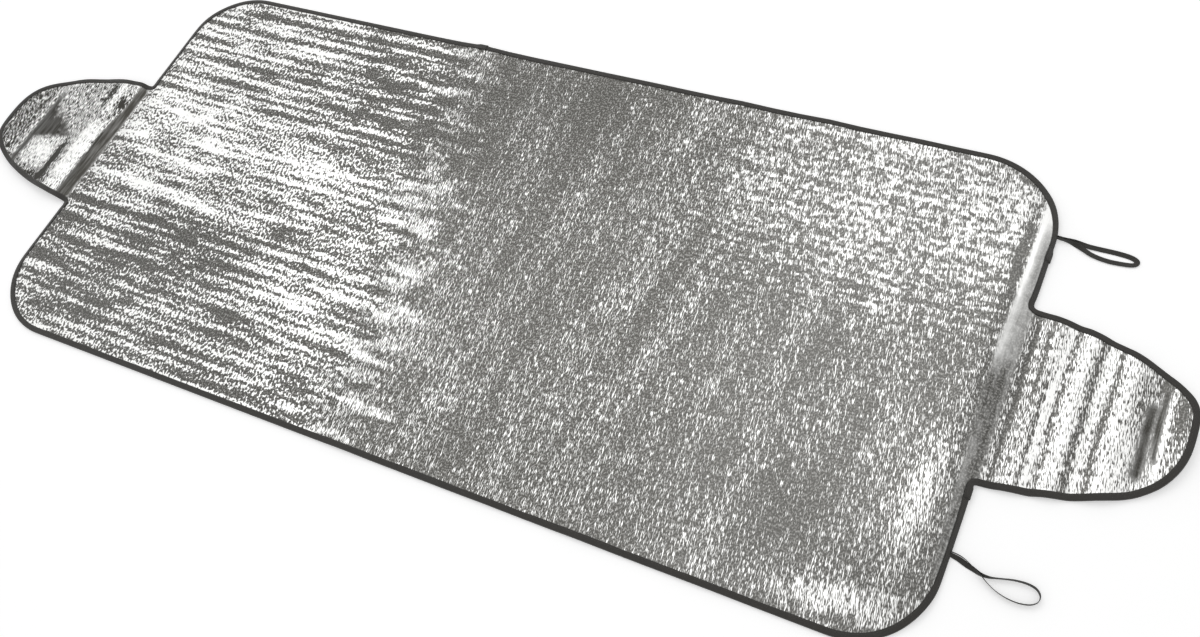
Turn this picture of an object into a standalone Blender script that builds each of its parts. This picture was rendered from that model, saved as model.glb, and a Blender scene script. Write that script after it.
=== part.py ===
"""Windshield frost cover, lying flat: a foil laminate sheet with two door ears, a bound edge, two loops.

Metres, +Z up. The long side runs along X with the elastic loops at the +X end, and the middle of
the cover stands on the floor at the origin.
"""

import math

import bmesh
import bpy
import numpy as np
from mathutils import Vector
from mathutils.geometry import delaunay_2d_cdt

# Main panel
PANEL_LENGTH = 1.500
PANEL_WIDTH = 0.716
RIGHT_FRONT_RADIUS = 0.100
RIGHT_BACK_RADIUS = 0.120
LEFT_BACK_RADIUS = 0.100
LEFT_FRONT_RADIUS = 0.120
SHEET_THICKNESS = 0.0025
# The -X end lies a little further in than the +X end, most of all at its front
LEFT_DRAWN_IN = 0.0055
LEFT_DRAWN_IN_SLOPE = 0.010

# Door ears, one at each short end
RIGHT_EAR_LENGTH = 0.218
LEFT_EAR_LENGTH = 0.2235
EAR_WIDTH = 0.256
EAR_TAPER = 1.5
EAR_ROUNDING = 0.345
EAR_ROOT_RADIUS = 0.005
RIGHT_EAR_OFFSET = 0.0035
RIGHT_EAR_TIP_SKEW = 0.012
LEFT_EAR_OFFSET = -0.006
LEFT_EAR_TIP_SKEW = -0.006
EAR_SKEW_POWER = 12
EAR_SAMPLES = 600

# Binding tape, folded over the cut edge
TAPE_LEG = 0.0085
TAPE_THICKNESS = 0.0007
TAPE_FOLD_RADIUS = 0.0006
TAPE_LAP = 0.015
TAPE_JOGGLE = 0.005
SPLICE_BACK_EDGE_X = -0.185
SPLICE_END_EDGE_Y = 0.206
SPLICE_PAST_EAR = 0.003

CLEARANCE = 0.0003
FLOOR_MARGIN = 0.00015

# How the cover lies: packing folds, ripples and curled ears
LIFT_RAMP = 0.035
SPLICE_LIFT_REACH = 0.060
END_FOLD_INSET = 0.025
END_FOLD_HEIGHT = 0.012
END_FOLD_RISE = 0.150
END_FOLD_REACH = 0.220
END_FOLD_FADE = 0.120
END_FOLD_TURN_DEG = 61.64
EAR_FOLD_STRETCH = 1.25
END_FOLD_TOE = 0.0007
LEFT_FOLD_INSET = 0.020
LEFT_FOLD_HEIGHT = 0.004
LEFT_FOLD_RISE = 0.080
PACKING_FOLD_BACK_X = -0.191
PACKING_FOLD_FRONT_X = -0.038
PACKING_FOLD_HEIGHT = 0.002
PACKING_FOLD_HALF_WIDTH = 0.060
WAVE_HEIGHT = 0.0018
WAVE_PITCH = 0.150
WAVE_SKEW = 0.12
WAVE_EVENNESS = 0.65
WAVE_SHARPNESS = 1.5
WAVE_FROM_X = 0.020
WAVE_TO_X = 0.580
WAVE_FADE = 0.080
EAR_BLEND = 0.045
# Distance out from the ear's root, and the height of its underside there
RIGHT_EAR_PROFILE = (
    (0.000, 0.0),
    (0.022, 0.0),
    (0.041, 0.0032),
    (0.059, 0.0),
    (0.082, 0.0036),
    (0.106, 0.0),
    (0.137, 0.0042),
    (0.168, 0.0010),
    (0.186, 0.0034),
    (0.218, 0.0085),
)
LEFT_EAR_PROFILE = (
    (0.000, 0.0),
    (0.020, 0.0080),
    (0.053, 0.0110),
    (0.098, 0.0080),
    (0.135, 0.0095),
    (0.160, 0.0082),
    (0.218, 0.0145),
)

# Elastic loops, each one band from one sewn end round to the other
ELASTIC_TUBE = 0.0024
ELASTIC_STEP = 0.006
ROUTE_SAMPLES = 20
UPPER_LOOP_ROUTE = (
    (0.7529, 0.2500, 0.0042),
    (0.7620, 0.2496, 0.0032),
    (0.7710, 0.2484, 0.0030),
    (0.7810, 0.2470, 0.0027),
    (0.7930, 0.2462, 0.0021),
    (0.8060, 0.2464, 0.0015),
    (0.8200, 0.2466, 0.0014),
    (0.8340, 0.2462, 0.0014),
    (0.8460, 0.2446, 0.0014),
    (0.8530, 0.2408, 0.0014),
    (0.8525, 0.2360, 0.0014),
    (0.8465, 0.2332, 0.0014),
    (0.8350, 0.2318, 0.0014),
    (0.8220, 0.2312, 0.0014),
    (0.8090, 0.2324, 0.0015),
    (0.7970, 0.2352, 0.0019),
    (0.7870, 0.2396, 0.0024),
    (0.7780, 0.2434, 0.0029),
    (0.7690, 0.2452, 0.0031),
    (0.7620, 0.2458, 0.0032),
    (0.7529, 0.2460, 0.0042),
)
LOWER_LOOP_ROUTE = (
    (0.7529, -0.2150, 0.0038),
    (0.7620, -0.2160, 0.0032),
    (0.7710, -0.2192, 0.0031),
    (0.7810, -0.2250, 0.0036),
    (0.7900, -0.2308, 0.0050),
    (0.7990, -0.2368, 0.0040),
    (0.8110, -0.2430, 0.0030),
    (0.8240, -0.2466, 0.0028),
    (0.8370, -0.2474, 0.0028),
    (0.8490, -0.2448, 0.0028),
    (0.8560, -0.2390, 0.0028),
    (0.8565, -0.2310, 0.0028),
    (0.8505, -0.2246, 0.0028),
    (0.8400, -0.2222, 0.0028),
    (0.8260, -0.2232, 0.0028),
    (0.8120, -0.2266, 0.0028),
    (0.8000, -0.2296, 0.0022),
    (0.7900, -0.2296, 0.0014),
    (0.7800, -0.2264, 0.0018),
    (0.7700, -0.2224, 0.0028),
    (0.7620, -0.2200, 0.0032),
    (0.7529, -0.2190, 0.0038),
)

# Mesh spacing
LONG_EDGE_STEP = 0.045
SHORT_EDGE_STEP = 0.012
EAR_STEP = 0.0145
ROOT_STEP = 0.003
DENSE_STEP = 0.001
STRIP_WIDTH = TAPE_LEG + 0.0005
PANEL_GRID_X = 0.030
PANEL_GRID_Y = 0.052
FLAT_GRID_X = 0.060
END_GRID_X = 0.012
EAR_GRID_X = 0.0095
EAR_GRID_Y = 0.027
EDGE_GAP_SHARE = 0.55

TAPE_BUILD_UP = TAPE_THICKNESS + CLEARANCE
PANEL_END = PANEL_LENGTH / 2
PANEL_SIDE = PANEL_WIDTH / 2


def clear_scene():
    for old in list(bpy.data.objects):
        bpy.data.objects.remove(old, do_unlink=True)


def new_collection(name):
    made = bpy.data.collections.new(name)
    bpy.context.scene.collection.children.link(made)
    return made


def principled(name, colour, roughness, metallic):
    material = bpy.data.materials.new(name)
    material.use_nodes = True
    shader = material.node_tree.nodes["Principled BSDF"]
    shader.inputs["Base Color"].default_value = (*colour, 1.0)
    shader.inputs["Roughness"].default_value = roughness
    shader.inputs["Metallic"].default_value = metallic
    return material


def ease(t):
    """Smooth step from 0 to 1."""
    t = np.clip(t, 0.0, 1.0)
    return t * t * (3.0 - 2.0 * t)


# The cover's outline, counter-clockwise from the front corner at the +X end


def line(start, end):
    count = max(2, int(math.dist(start, end) / DENSE_STEP))
    share = np.linspace(0.0, 1.0, count)[:, None]
    return np.array(start) + share * (np.array(end) - np.array(start))


def arc(centre, radius, start_deg, end_deg):
    sweep = math.radians(abs(end_deg - start_deg))
    count = max(8, int(radius * sweep / DENSE_STEP))
    angle = np.radians(np.linspace(start_deg, end_deg, count))
    return np.array(centre) + radius * np.stack([np.cos(angle), np.sin(angle)], axis=1)


def ear_side(length):
    """Half of an ear, from its root to its tip, as distance out and half width."""
    share = np.sin(np.linspace(0.0, math.pi / 2, EAR_SAMPLES))
    half = EAR_WIDTH / 2 * (1.0 - share**EAR_TAPER) ** EAR_ROUNDING
    return np.stack([length * share, half], axis=1)


def ear_path(length, offset, tip_skew):
    """A whole ear at the +X end between its root fillets, offset along the panel's end."""
    side = ear_side(length)
    clear = side[side[:, 0] >= EAR_ROOT_RADIUS]
    skew = offset + tip_skew * (clear[:, 0] / length) ** EAR_SKEW_POWER
    lower = np.stack([PANEL_END + clear[:, 0], skew - clear[:, 1]], axis=1)
    upper = np.stack([PANEL_END + clear[:, 0], skew + clear[:, 1]], axis=1)
    return np.concatenate([lower, upper[-2::-1]])


def root_fillet(ear_point, sign):
    """The concave fillet between the panel's end and the ear, on the side that sign gives."""
    y = ear_point[1] + sign * EAR_ROOT_RADIUS
    centre = (PANEL_END + EAR_ROOT_RADIUS, y)
    if sign < 0:
        return arc(centre, EAR_ROOT_RADIUS, 180, 90)
    return arc(centre, EAR_ROOT_RADIUS, 270, 180)


def end_sections(ear, front_radius, back_radius):
    """A +X end between the straight long edges: (dense points, station step) in order."""
    low = root_fillet(ear[0], -1)
    high = root_fillet(ear[-1], 1)
    front = (PANEL_END - front_radius, front_radius - PANEL_SIDE)
    back = (PANEL_END - back_radius, PANEL_SIDE - back_radius)
    return [
        (arc(front, front_radius, -90, 0), SHORT_EDGE_STEP),
        (line((PANEL_END, front[1]), tuple(low[0])), SHORT_EDGE_STEP),
        (low, ROOT_STEP),
        (ear, EAR_STEP),
        (high, ROOT_STEP),
        (line(tuple(high[-1]), (PANEL_END, back[1])), SHORT_EDGE_STEP),
        (arc(back, back_radius, 0, 90), SHORT_EDGE_STEP),
    ]


def drawn_in(y):
    """How far in from its mirrored place each point of the -X end lies."""
    return LEFT_DRAWN_IN - LEFT_DRAWN_IN_SLOPE * y


def at_left_end(points):
    """Points of a +X end, taken to the -X end."""
    x, y = points[::-1].T
    return np.stack([drawn_in(y) - x, y], axis=1)


def outline_sections():
    """All of the outline, end by end, with the long edges between."""
    right_ear = ear_path(RIGHT_EAR_LENGTH, RIGHT_EAR_OFFSET, RIGHT_EAR_TIP_SKEW)
    left_ear = ear_path(LEFT_EAR_LENGTH, LEFT_EAR_OFFSET, LEFT_EAR_TIP_SKEW)
    right = end_sections(right_ear, RIGHT_FRONT_RADIUS, RIGHT_BACK_RADIUS)
    mirrored = end_sections(left_ear, LEFT_FRONT_RADIUS, LEFT_BACK_RADIUS)
    left = [(at_left_end(points), step) for points, step in reversed(mirrored)]
    back = line(tuple(right[-1][0][-1]), tuple(left[0][0][0]))
    front = line(tuple(left[-1][0][-1]), tuple(right[0][0][0]))
    return [*right, (back, LONG_EDGE_STEP), *left, (front, LONG_EDGE_STEP)]


class Outline:
    """The closed outline by arc length, with the stations that the sheet and the tape share."""

    def __init__(self):
        sections = outline_sections()
        self.points = np.concatenate([points[:-1] for points, _ in sections])
        closed = np.concatenate([self.points, self.points[:1]])
        steps = np.linalg.norm(np.diff(closed, axis=0), axis=1)
        self.along = np.concatenate([[0.0], np.cumsum(steps)])
        self.length = self.along[-1]
        self.closed = closed
        self.splices = self.find_splices()
        self.stations = self.find_stations(sections)
        self.rim = self.at(self.stations)
        self.outward = self.normals(self.rim)

    def at(self, s):
        s = np.mod(s, self.length)
        x = np.interp(s, self.along, self.closed[:, 0])
        y = np.interp(s, self.along, self.closed[:, 1])
        return np.stack([x, y], axis=1)

    def nearest(self, x, y):
        gap = np.hypot(self.points[:, 0] - x, self.points[:, 1] - y)
        return self.along[int(np.argmin(gap))]

    def find_splices(self):
        """Arc lengths at which the ear, back and front runs of tape begin."""
        below_ear = EAR_WIDTH / 2 - RIGHT_EAR_OFFSET + EAR_ROOT_RADIUS + SPLICE_PAST_EAR
        ear = self.nearest(PANEL_END, -below_ear) - TAPE_LAP
        back = self.nearest(PANEL_END, SPLICE_END_EDGE_Y)
        front = self.nearest(SPLICE_BACK_EDGE_X, PANEL_SIDE)
        return {"ear": ear, "back": back, "front": front}

    def find_stations(self, sections):
        marks = []
        start = 0.0
        for points, step in sections:
            length = np.linalg.norm(np.diff(points, axis=0), axis=1).sum()
            count = max(1, round(length / step))
            marks.extend(start + length * k / count for k in range(count))
            start += length
        lap_marks = []
        for begin in self.splices.values():
            lap_marks.extend(begin + extra for extra in lap_stations())
        kept = [m for m in marks if min(abs(m - lap) for lap in lap_marks) > ROOT_STEP]
        return np.array(sorted(kept + lap_marks))

    def normals(self, points):
        before = points - np.roll(points, 1, axis=0)
        after = np.roll(points, -1, axis=0) - points
        before /= np.linalg.norm(before, axis=1)[:, None]
        after /= np.linalg.norm(after, axis=1)[:, None]
        along = before + after
        along /= np.linalg.norm(along, axis=1)[:, None]
        return np.stack([along[:, 1], -along[:, 0]], axis=1)

    def distance(self, points):
        """Distance from each point to the outline."""
        found = np.empty(len(points))
        for k, point in enumerate(points):
            found[k] = np.hypot(*(self.points - point).T).min()
        return found

    def inside(self, points):
        x, y = points[:, 0][:, None], points[:, 1][:, None]
        x0, y0 = self.closed[:-1].T
        x1, y1 = self.closed[1:].T
        spans = (y0 > y) != (y1 > y)
        rise = np.where(y1 == y0, 1.0, y1 - y0)
        crossing = x0 + (y - y0) / rise * (x1 - x0)
        return (np.sum(spans & (x < crossing), axis=1) % 2) == 1


def lap_stations():
    """Where a lap starts, where the tape below ends, and where the joggle starts and ends."""
    return (0.0, TAPE_LAP, TAPE_LAP + 2 * CLEARANCE, TAPE_LAP + TAPE_JOGGLE)


# How high the underside lies


def through_knots(profile, out):
    """Height that eases from knot to knot, level at each."""
    height = np.full(len(out), profile[-1][1])
    for (near, low), (far, high) in zip(profile, profile[1:]):
        here = (out >= near) & (out < far)
        height[here] = low + (high - low) * ease((out[here] - near) / (far - near))
    height[out < profile[0][0]] = profile[0][1]
    return height


def rolled_drop(t):
    """From 1 to 0 as t goes from 0 to 1, over the first part of a quarter ellipse, steepest at the end."""
    turn = math.radians(END_FOLD_TURN_DEG)
    t = np.clip(t, 0.0, 1.0) * math.sin(turn)
    return (np.sqrt(1.0 - t * t) - math.cos(turn)) / (1.0 - math.cos(turn))


def end_fold(out, y, inset, height, rise):
    """A fold along a short end: out is the distance past the fold line."""
    side = np.abs(y)
    up = ease((out + rise) / rise)
    on_edge = ease((side - EAR_WIDTH / 2) / EAR_BLEND)
    into_ear = 1.0 - ease(out / (inset * EAR_FOLD_STRETCH))
    drop = on_edge * rolled_drop(out / inset) + (1.0 - on_edge) * into_ear
    fade = 1.0 - ease((side - END_FOLD_REACH) / END_FOLD_FADE)
    return height * fade * np.where(out < 0, up, drop)


def packing_fold(x, y):
    share = (y + PANEL_SIDE) / PANEL_WIDTH
    fold_x = PACKING_FOLD_FRONT_X + (PACKING_FOLD_BACK_X - PACKING_FOLD_FRONT_X) * share
    off = np.clip(np.abs(x - fold_x) / PACKING_FOLD_HALF_WIDTH, 0.0, 1.0)
    return PACKING_FOLD_HEIGHT * (1.0 - ease(off))


def broad_waves(x, y):
    window = ease((x - WAVE_FROM_X) / WAVE_FADE) * ease((WAVE_TO_X - x) / WAVE_FADE)
    phase = 2 * math.pi * (x + WAVE_SKEW * y) / WAVE_PITCH
    swing = np.cos(math.pi * y / PANEL_SIDE + x / WAVE_PITCH)
    swell = WAVE_EVENNESS + (1.0 - WAVE_EVENNESS) * swing
    return WAVE_HEIGHT * window * swell * np.maximum(0.0, np.cos(phase)) ** WAVE_SHARPNESS


def edge_lift(x, y, outline, from_edge):
    """The tape under the edge, and a lap under a splice, hold the sheet off the floor."""
    ramp = 1.0 - ease((from_edge - STRIP_WIDTH) / LIFT_RAMP)
    lift = (TAPE_BUILD_UP + FLOOR_MARGIN) * ramp
    for begin in outline.splices.values():
        px, py = outline.at(np.array([begin + TAPE_LAP / 2]))[0]
        near = ease(1.0 - (np.hypot(x - px, y - py) - TAPE_LAP) / SPLICE_LIFT_REACH)
        lift = lift + TAPE_BUILD_UP * near * ramp
    folded = (x > PANEL_END - END_FOLD_INSET) & (x < PANEL_END + EAR_ROOT_RADIUS)
    return lift + END_FOLD_TOE * ramp * folded


def resting_height(points, outline, from_edge):
    """Height of the sheet's underside over the floor, for plan points."""
    x, y = points.T
    height = edge_lift(x, y, outline, from_edge)
    past_right = x - (PANEL_END - END_FOLD_INSET)
    past_left_end = drawn_in(y) - x - PANEL_END
    past_left = past_left_end + LEFT_FOLD_INSET
    height += end_fold(past_right, y, END_FOLD_INSET, END_FOLD_HEIGHT, END_FOLD_RISE)
    height += end_fold(past_left, y, LEFT_FOLD_INSET, LEFT_FOLD_HEIGHT, LEFT_FOLD_RISE)
    height += packing_fold(x, y)
    height += broad_waves(x, y)
    height += through_knots(RIGHT_EAR_PROFILE, x - PANEL_END)
    height += through_knots(LEFT_EAR_PROFILE, past_left_end)
    return height


# The sheet


def grid_step(x):
    if abs(x) > PANEL_END:
        return EAR_GRID_X
    if x > PANEL_END - 2 * END_FOLD_INSET or x < -PANEL_END + 2 * LEFT_FOLD_INSET:
        return END_GRID_X
    if x < PACKING_FOLD_BACK_X - PACKING_FOLD_HALF_WIDTH and x > -PANEL_END + LEFT_FOLD_RISE:
        return FLAT_GRID_X
    return PANEL_GRID_X


def grid_points(outline):
    """Plan points inside the edge strip, in columns across the cover."""
    found = []
    x = -PANEL_END - LEFT_EAR_LENGTH
    while x < PANEL_END + RIGHT_EAR_LENGTH:
        step = grid_step(x)
        in_ear = abs(x) > PANEL_END - END_FOLD_INSET
        row = EAR_GRID_Y if in_ear else PANEL_GRID_Y
        rows = int(PANEL_SIDE / row)
        column = np.array([(x, row * k) for k in range(-rows, rows + 1)])
        column = column[outline.inside(column)]
        if len(column):
            clear = outline.distance(column) > STRIP_WIDTH + EDGE_GAP_SHARE * step
            found.extend(column[clear])
        x += step
    return np.array(found)


def sheet_surface(outline):
    """The underside as one open mesh: an edge strip for the tape and a filled middle."""
    count = len(outline.rim)
    inner = outline.rim - outline.outward * STRIP_WIDTH
    middle = grid_points(outline)
    plan = np.concatenate([inner, middle])
    coords = [Vector(p) for p in plan]
    made = delaunay_2d_cdt(coords, [], [list(range(count))], 1, 1e-6)
    filled, faces, origins = made[0], made[2], made[3]
    if len(filled) != len(plan) or any(len(o) != 1 for o in origins):
        raise ValueError("the fill merged or added points")
    order = [o[0] for o in origins]
    from_edge = np.concatenate([np.zeros(count), np.full(count, STRIP_WIDTH), outline.distance(middle)])
    every = np.concatenate([outline.rim, plan])
    height = resting_height(every, outline, from_edge)
    points = np.column_stack([every, height])
    tops = [tuple(count + order[v] for v in face) for face in faces]
    for k in range(count):
        after = (k + 1) % count
        tops.append((k, after, count + after))
        tops.append((k, count + after, count + k))
    return points, tops


def add_object(name, points, faces, material, home):
    mesh = bpy.data.meshes.new(name)
    mesh.from_pydata([tuple(p) for p in points], [], faces)
    mesh.materials.append(material)
    made = bpy.data.objects.new(name, mesh)
    home.objects.link(made)
    return made


def face_up(mesh):
    """Turns every face of an open surface to look up."""
    shell = bmesh.new()
    shell.from_mesh(mesh)
    for face in shell.faces:
        if face.normal.z < 0:
            face.normal_flip()
    shell.to_mesh(mesh)
    shell.free()


def build_sheet(outline, home):
    foil = principled("foil", (0.52, 0.52, 0.50), 0.32, 1.0)
    points, faces = sheet_surface(outline)
    sheet = add_object("foil_sheet", points, faces, foil, home)
    face_up(sheet.data)
    body = sheet.modifiers.new("thickness", "SOLIDIFY")
    body.thickness = SHEET_THICKNESS
    body.offset = 1.0
    body.use_even_offset = True
    return points[: len(outline.rim)], points[len(outline.rim) : 2 * len(outline.rim)]


# The binding tape


def tape_section(extra):
    """Closed U, as (distance in from the sheet's edge, height over its underside)."""
    inner = CLEARANCE + extra
    outer = inner + TAPE_THICKNESS
    over = SHEET_THICKNESS + outer
    bend = TAPE_FOLD_RADIUS
    return [
        (TAPE_LEG, over),
        (bend - outer, over),
        (-outer, over - bend),
        (-outer, bend - outer),
        (bend - outer, -outer),
        (TAPE_LEG, -outer),
        (TAPE_LEG, -inner),
        (-inner, -inner),
        (-inner, SHEET_THICKNESS + inner),
        (TAPE_LEG, SHEET_THICKNESS + inner),
    ]


def run_stations(outline, begin, end):
    """Station numbers of one run of tape, from its own start to where the next run laps it."""
    stop = end + TAPE_LAP
    if stop <= begin:
        stop += outline.length
    numbers = []
    count = len(outline.stations)
    for lap in (0, 1):
        for k in range(count):
            s = outline.stations[k] + lap * outline.length
            if begin - 1e-7 <= s <= stop + 1e-7:
                numbers.append((k, s - begin))
    return numbers


def build_run(name, outline, rim, inner, begin, end, tape, home):
    """One run of tape: a U section set on the sheet's edge at every station, wider over its lap."""
    rings = []
    for k, run in run_stations(outline, begin, end):
        after = (k + 1) % len(rim)
        along = rim[after] - rim[k - 1]
        inward = inner[k] - rim[k]
        inward /= np.linalg.norm(inward)
        up = np.cross(inward, along / np.linalg.norm(along))
        up *= np.sign(up[2]) / np.linalg.norm(up)
        over_lap = run <= TAPE_LAP + 2 * CLEARANCE + 1e-7
        extra = TAPE_BUILD_UP if over_lap else 0.0
        rings.append([rim[k] + inward * a + up * b for a, b in tape_section(extra)])
    section = tape_section(0.0)
    side = len(section)
    last = (len(rings) - 1) * side
    faces = [tuple(reversed(range(side))), tuple(range(last, last + side))]
    for r in range(len(rings) - 1):
        for k in range(side):
            after = (k + 1) % side
            here, there = r * side, (r + 1) * side
            # The diagonal starts at the edge side, as it does on the sheet's edge strip
            if section[after][0] < section[k][0]:
                faces.append((here + k, here + after, there + k))
                faces.append((here + after, there + after, there + k))
            else:
                faces.append((here + k, here + after, there + after))
                faces.append((here + k, there + after, there + k))
    points = [p for ring in rings for p in ring]
    return add_object(name, points, faces, tape, home)


def build_binding(outline, rim, inner, home):
    tape = principled("binding_tape", (0.045, 0.043, 0.037), 0.85, 0.0)
    splices = outline.splices
    build_run("binding_ear_run", outline, rim, inner, splices["ear"], splices["back"], tape, home)
    build_run("binding_back_run", outline, rim, inner, splices["back"], splices["front"], tape, home)
    build_run("binding_front_run", outline, rim, inner, splices["front"], splices["ear"], tape, home)


# The elastic loops


def smooth_route(route):
    """Evenly spaced points on a smooth curve through the route's own points."""
    points = np.array(route)
    ends = [2 * points[0] - points[1], 2 * points[-1] - points[-2]]
    p = np.concatenate([[ends[0]], points, [ends[1]]])
    curve = []
    for k in range(1, len(p) - 2):
        for t in np.linspace(0.0, 1.0, ROUTE_SAMPLES, endpoint=False):
            a = 2 * p[k]
            b = (p[k + 1] - p[k - 1]) * t
            c = (2 * p[k - 1] - 5 * p[k] + 4 * p[k + 1] - p[k + 2]) * t**2
            d = (3 * p[k] - p[k - 1] - 3 * p[k + 1] + p[k + 2]) * t**3
            curve.append((a + b + c + d) / 2)
    curve = np.array([*curve, points[-1]])
    along = np.concatenate([[0.0], np.cumsum(np.linalg.norm(np.diff(curve, axis=0), axis=1))])
    even = np.linspace(0.0, along[-1], round(along[-1] / ELASTIC_STEP) + 1)
    return np.stack([np.interp(even, along, curve[:, k]) for k in range(3)], axis=1)


def build_loop(name, route, elastic, home):
    curve = bpy.data.curves.new(name, "CURVE")
    curve.dimensions = "3D"
    curve.bevel_depth = ELASTIC_TUBE / 2
    curve.bevel_resolution = 2
    curve.use_fill_caps = True
    curve.materials.append(elastic)
    spline = curve.splines.new("POLY")
    points = smooth_route(route)
    spline.points.add(len(points) - 1)
    for made, point in zip(spline.points, points):
        made.co = (*point, 1.0)
    home.objects.link(bpy.data.objects.new(name, curve))


def main():
    clear_scene()
    home = new_collection("windshield_frost_cover")
    outline = Outline()
    rim, inner = build_sheet(outline, home)
    build_binding(outline, rim, inner, home)
    elastic = principled("elastic", (0.030, 0.029, 0.026), 0.8, 0.0)
    build_loop("upper_loop", UPPER_LOOP_ROUTE, elastic, home)
    build_loop("lower_loop", LOWER_LOOP_ROUTE, elastic, home)


main()
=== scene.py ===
"""Looks of the windshield frost cover: embossed foil, sewn binding tape, elastic loops and a pale studio."""

import math

import bmesh
import bpy
import numpy as np
from bpy.props import FloatProperty, FloatVectorProperty, PointerProperty
from mathutils import Matrix, Vector
from mathutils.bvhtree import BVHTree
from mathutils.geometry import delaunay_2d_cdt
from mathutils.kdtree import KDTree


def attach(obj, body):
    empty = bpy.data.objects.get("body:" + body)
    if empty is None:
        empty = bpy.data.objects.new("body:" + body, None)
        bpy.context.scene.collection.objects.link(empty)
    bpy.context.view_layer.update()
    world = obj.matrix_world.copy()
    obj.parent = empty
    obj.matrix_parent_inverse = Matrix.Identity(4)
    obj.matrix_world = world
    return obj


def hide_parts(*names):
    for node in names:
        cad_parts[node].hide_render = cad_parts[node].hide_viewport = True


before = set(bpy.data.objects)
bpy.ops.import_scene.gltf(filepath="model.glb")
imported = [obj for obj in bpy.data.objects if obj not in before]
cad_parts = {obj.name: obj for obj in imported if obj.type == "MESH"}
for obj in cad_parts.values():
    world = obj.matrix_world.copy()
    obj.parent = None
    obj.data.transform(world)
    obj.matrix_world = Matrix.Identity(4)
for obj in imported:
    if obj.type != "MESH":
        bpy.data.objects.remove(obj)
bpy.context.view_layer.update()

bl_info = {
    "name": "Windshield frost cover",
    "version": (1, 0, 0),
    "blender": (4, 5, 0),
    "location": "3D View > Sidebar > Frost Cover",
    "description": "Builds the foil, binding, stitches, elastic loops and studio round the packed cover",
    "category": "Object",
}

ROOT = "root"
SHEET_NODE = "foil_sheet"
TAPE_NODES = ("binding_ear_run", "binding_back_run", "binding_front_run")

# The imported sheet, in metres
PANEL_END = 0.750
PANEL_SIDE = 0.358
LEFT_DRAWN_IN = 0.0055
LEFT_DRAWN_IN_SLOPE = 0.010
SHEET_THICKNESS = 0.0025
TAPE_LAP = 0.015
TAPE_JOGGLE = 0.005
TAPE_BUILD_UP = 0.001
TAPE_OUTER_BEND = 0.0013
TAPE_INNER_BEND = 0.0010
TAPE_EDGE_ROUND = 0.0002

# How the sheet is read back: the strip beside its edge, and where its points lie far apart on a straight edge
STRIP_WIDTH = 0.0090
STRIP_PROBE = 0.95
STRAIGHT_GAP = 0.016
RIM_CURVE_POINTS = 24
ROUTE_CURVE_POINTS = 20
RIM_FOLD_ANGLE = math.radians(65)
RASTER_HALF = (0.985, 0.375)
RASTER_CELL = 0.005
INNER_BLEND = 0.030
# Reach of the blur along and across the cover, over the panel and past END_FROM at its ends
PANEL_BLUR = (0.014, 0.020)
END_BLUR = (0.004, 0.018)
END_FROM = 0.640
END_BLEND = 0.050

# The loops' routes, as in the part's source, with the two strands drawn up to 1.4 mm closer together at each neck
UPPER_LOOP_ROUTE = (
    (0.7529, 0.2494, 0.0042),
    (0.7620, 0.2490, 0.0032),
    (0.7710, 0.2482, 0.0030),
    (0.7810, 0.2470, 0.0027),
    (0.7930, 0.2462, 0.0021),
    (0.8060, 0.2464, 0.0015),
    (0.8200, 0.2466, 0.0014),
    (0.8340, 0.2462, 0.0014),
    (0.8460, 0.2446, 0.0014),
    (0.8530, 0.2408, 0.0014),
    (0.8525, 0.2360, 0.0014),
    (0.8465, 0.2332, 0.0014),
    (0.8350, 0.2318, 0.0014),
    (0.8220, 0.2312, 0.0014),
    (0.8090, 0.2324, 0.0015),
    (0.7970, 0.2352, 0.0019),
    (0.7870, 0.2396, 0.0024),
    (0.7780, 0.2434, 0.0029),
    (0.7690, 0.2454, 0.0031),
    (0.7620, 0.2464, 0.0032),
    (0.7529, 0.2468, 0.0042),
)
LOWER_LOOP_ROUTE = (
    (0.7529, -0.2150, 0.0038),
    (0.7620, -0.2160, 0.0032),
    (0.7710, -0.2192, 0.0031),
    (0.7810, -0.2250, 0.0036),
    (0.7900, -0.2308, 0.0050),
    (0.7990, -0.2368, 0.0040),
    (0.8110, -0.2430, 0.0030),
    (0.8240, -0.2466, 0.0028),
    (0.8370, -0.2474, 0.0028),
    (0.8490, -0.2448, 0.0028),
    (0.8560, -0.2390, 0.0028),
    (0.8565, -0.2310, 0.0028),
    (0.8505, -0.2246, 0.0028),
    (0.8400, -0.2222, 0.0028),
    (0.8260, -0.2232, 0.0028),
    (0.8120, -0.2266, 0.0028),
    (0.8000, -0.2296, 0.0022),
    (0.7900, -0.2296, 0.0014),
    (0.7800, -0.2264, 0.0018),
    (0.7700, -0.2232, 0.0028),
    (0.7620, -0.2206, 0.0032),
    (0.7529, -0.2190, 0.0038),
)
# Turn of each band about its own line, in degrees by share of its length: 90 stands on edge
UPPER_LOOP_TWIST = (
    (0.00, 76), (0.07, 84), (0.15, 172), (0.40, 166), (0.60, 182), (0.84, 180), (0.93, 270), (1.00, 284)
)
LOWER_LOOP_TWIST = (
    (0.00, 76), (0.18, 70), (0.32, 76), (0.50, 84), (0.76, 100), (0.86, 60), (0.92, 30), (1.00, 60)
)
# The turn is averaged over this many of the band's sections on each side
TWIST_SMOOTHING = 6

# Rings along one stitch: place as a share of its half length, width and rise as shares of the thread's radius.
# THREAD_REST is the least height of its middle over the floor, as such a share
STITCH_STATIONS = ((-1.0, 0.35, -0.7), (-0.75, 0.9, -0.1), (0.0, 1.0, 0.15), (0.75, 0.9, -0.1), (1.0, 0.35, -0.7))
THREAD_SIDES = 6
THREAD_REST = 1.3

# Side of the seeded lattice that soft swells are read from
LATTICE = 256

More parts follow.
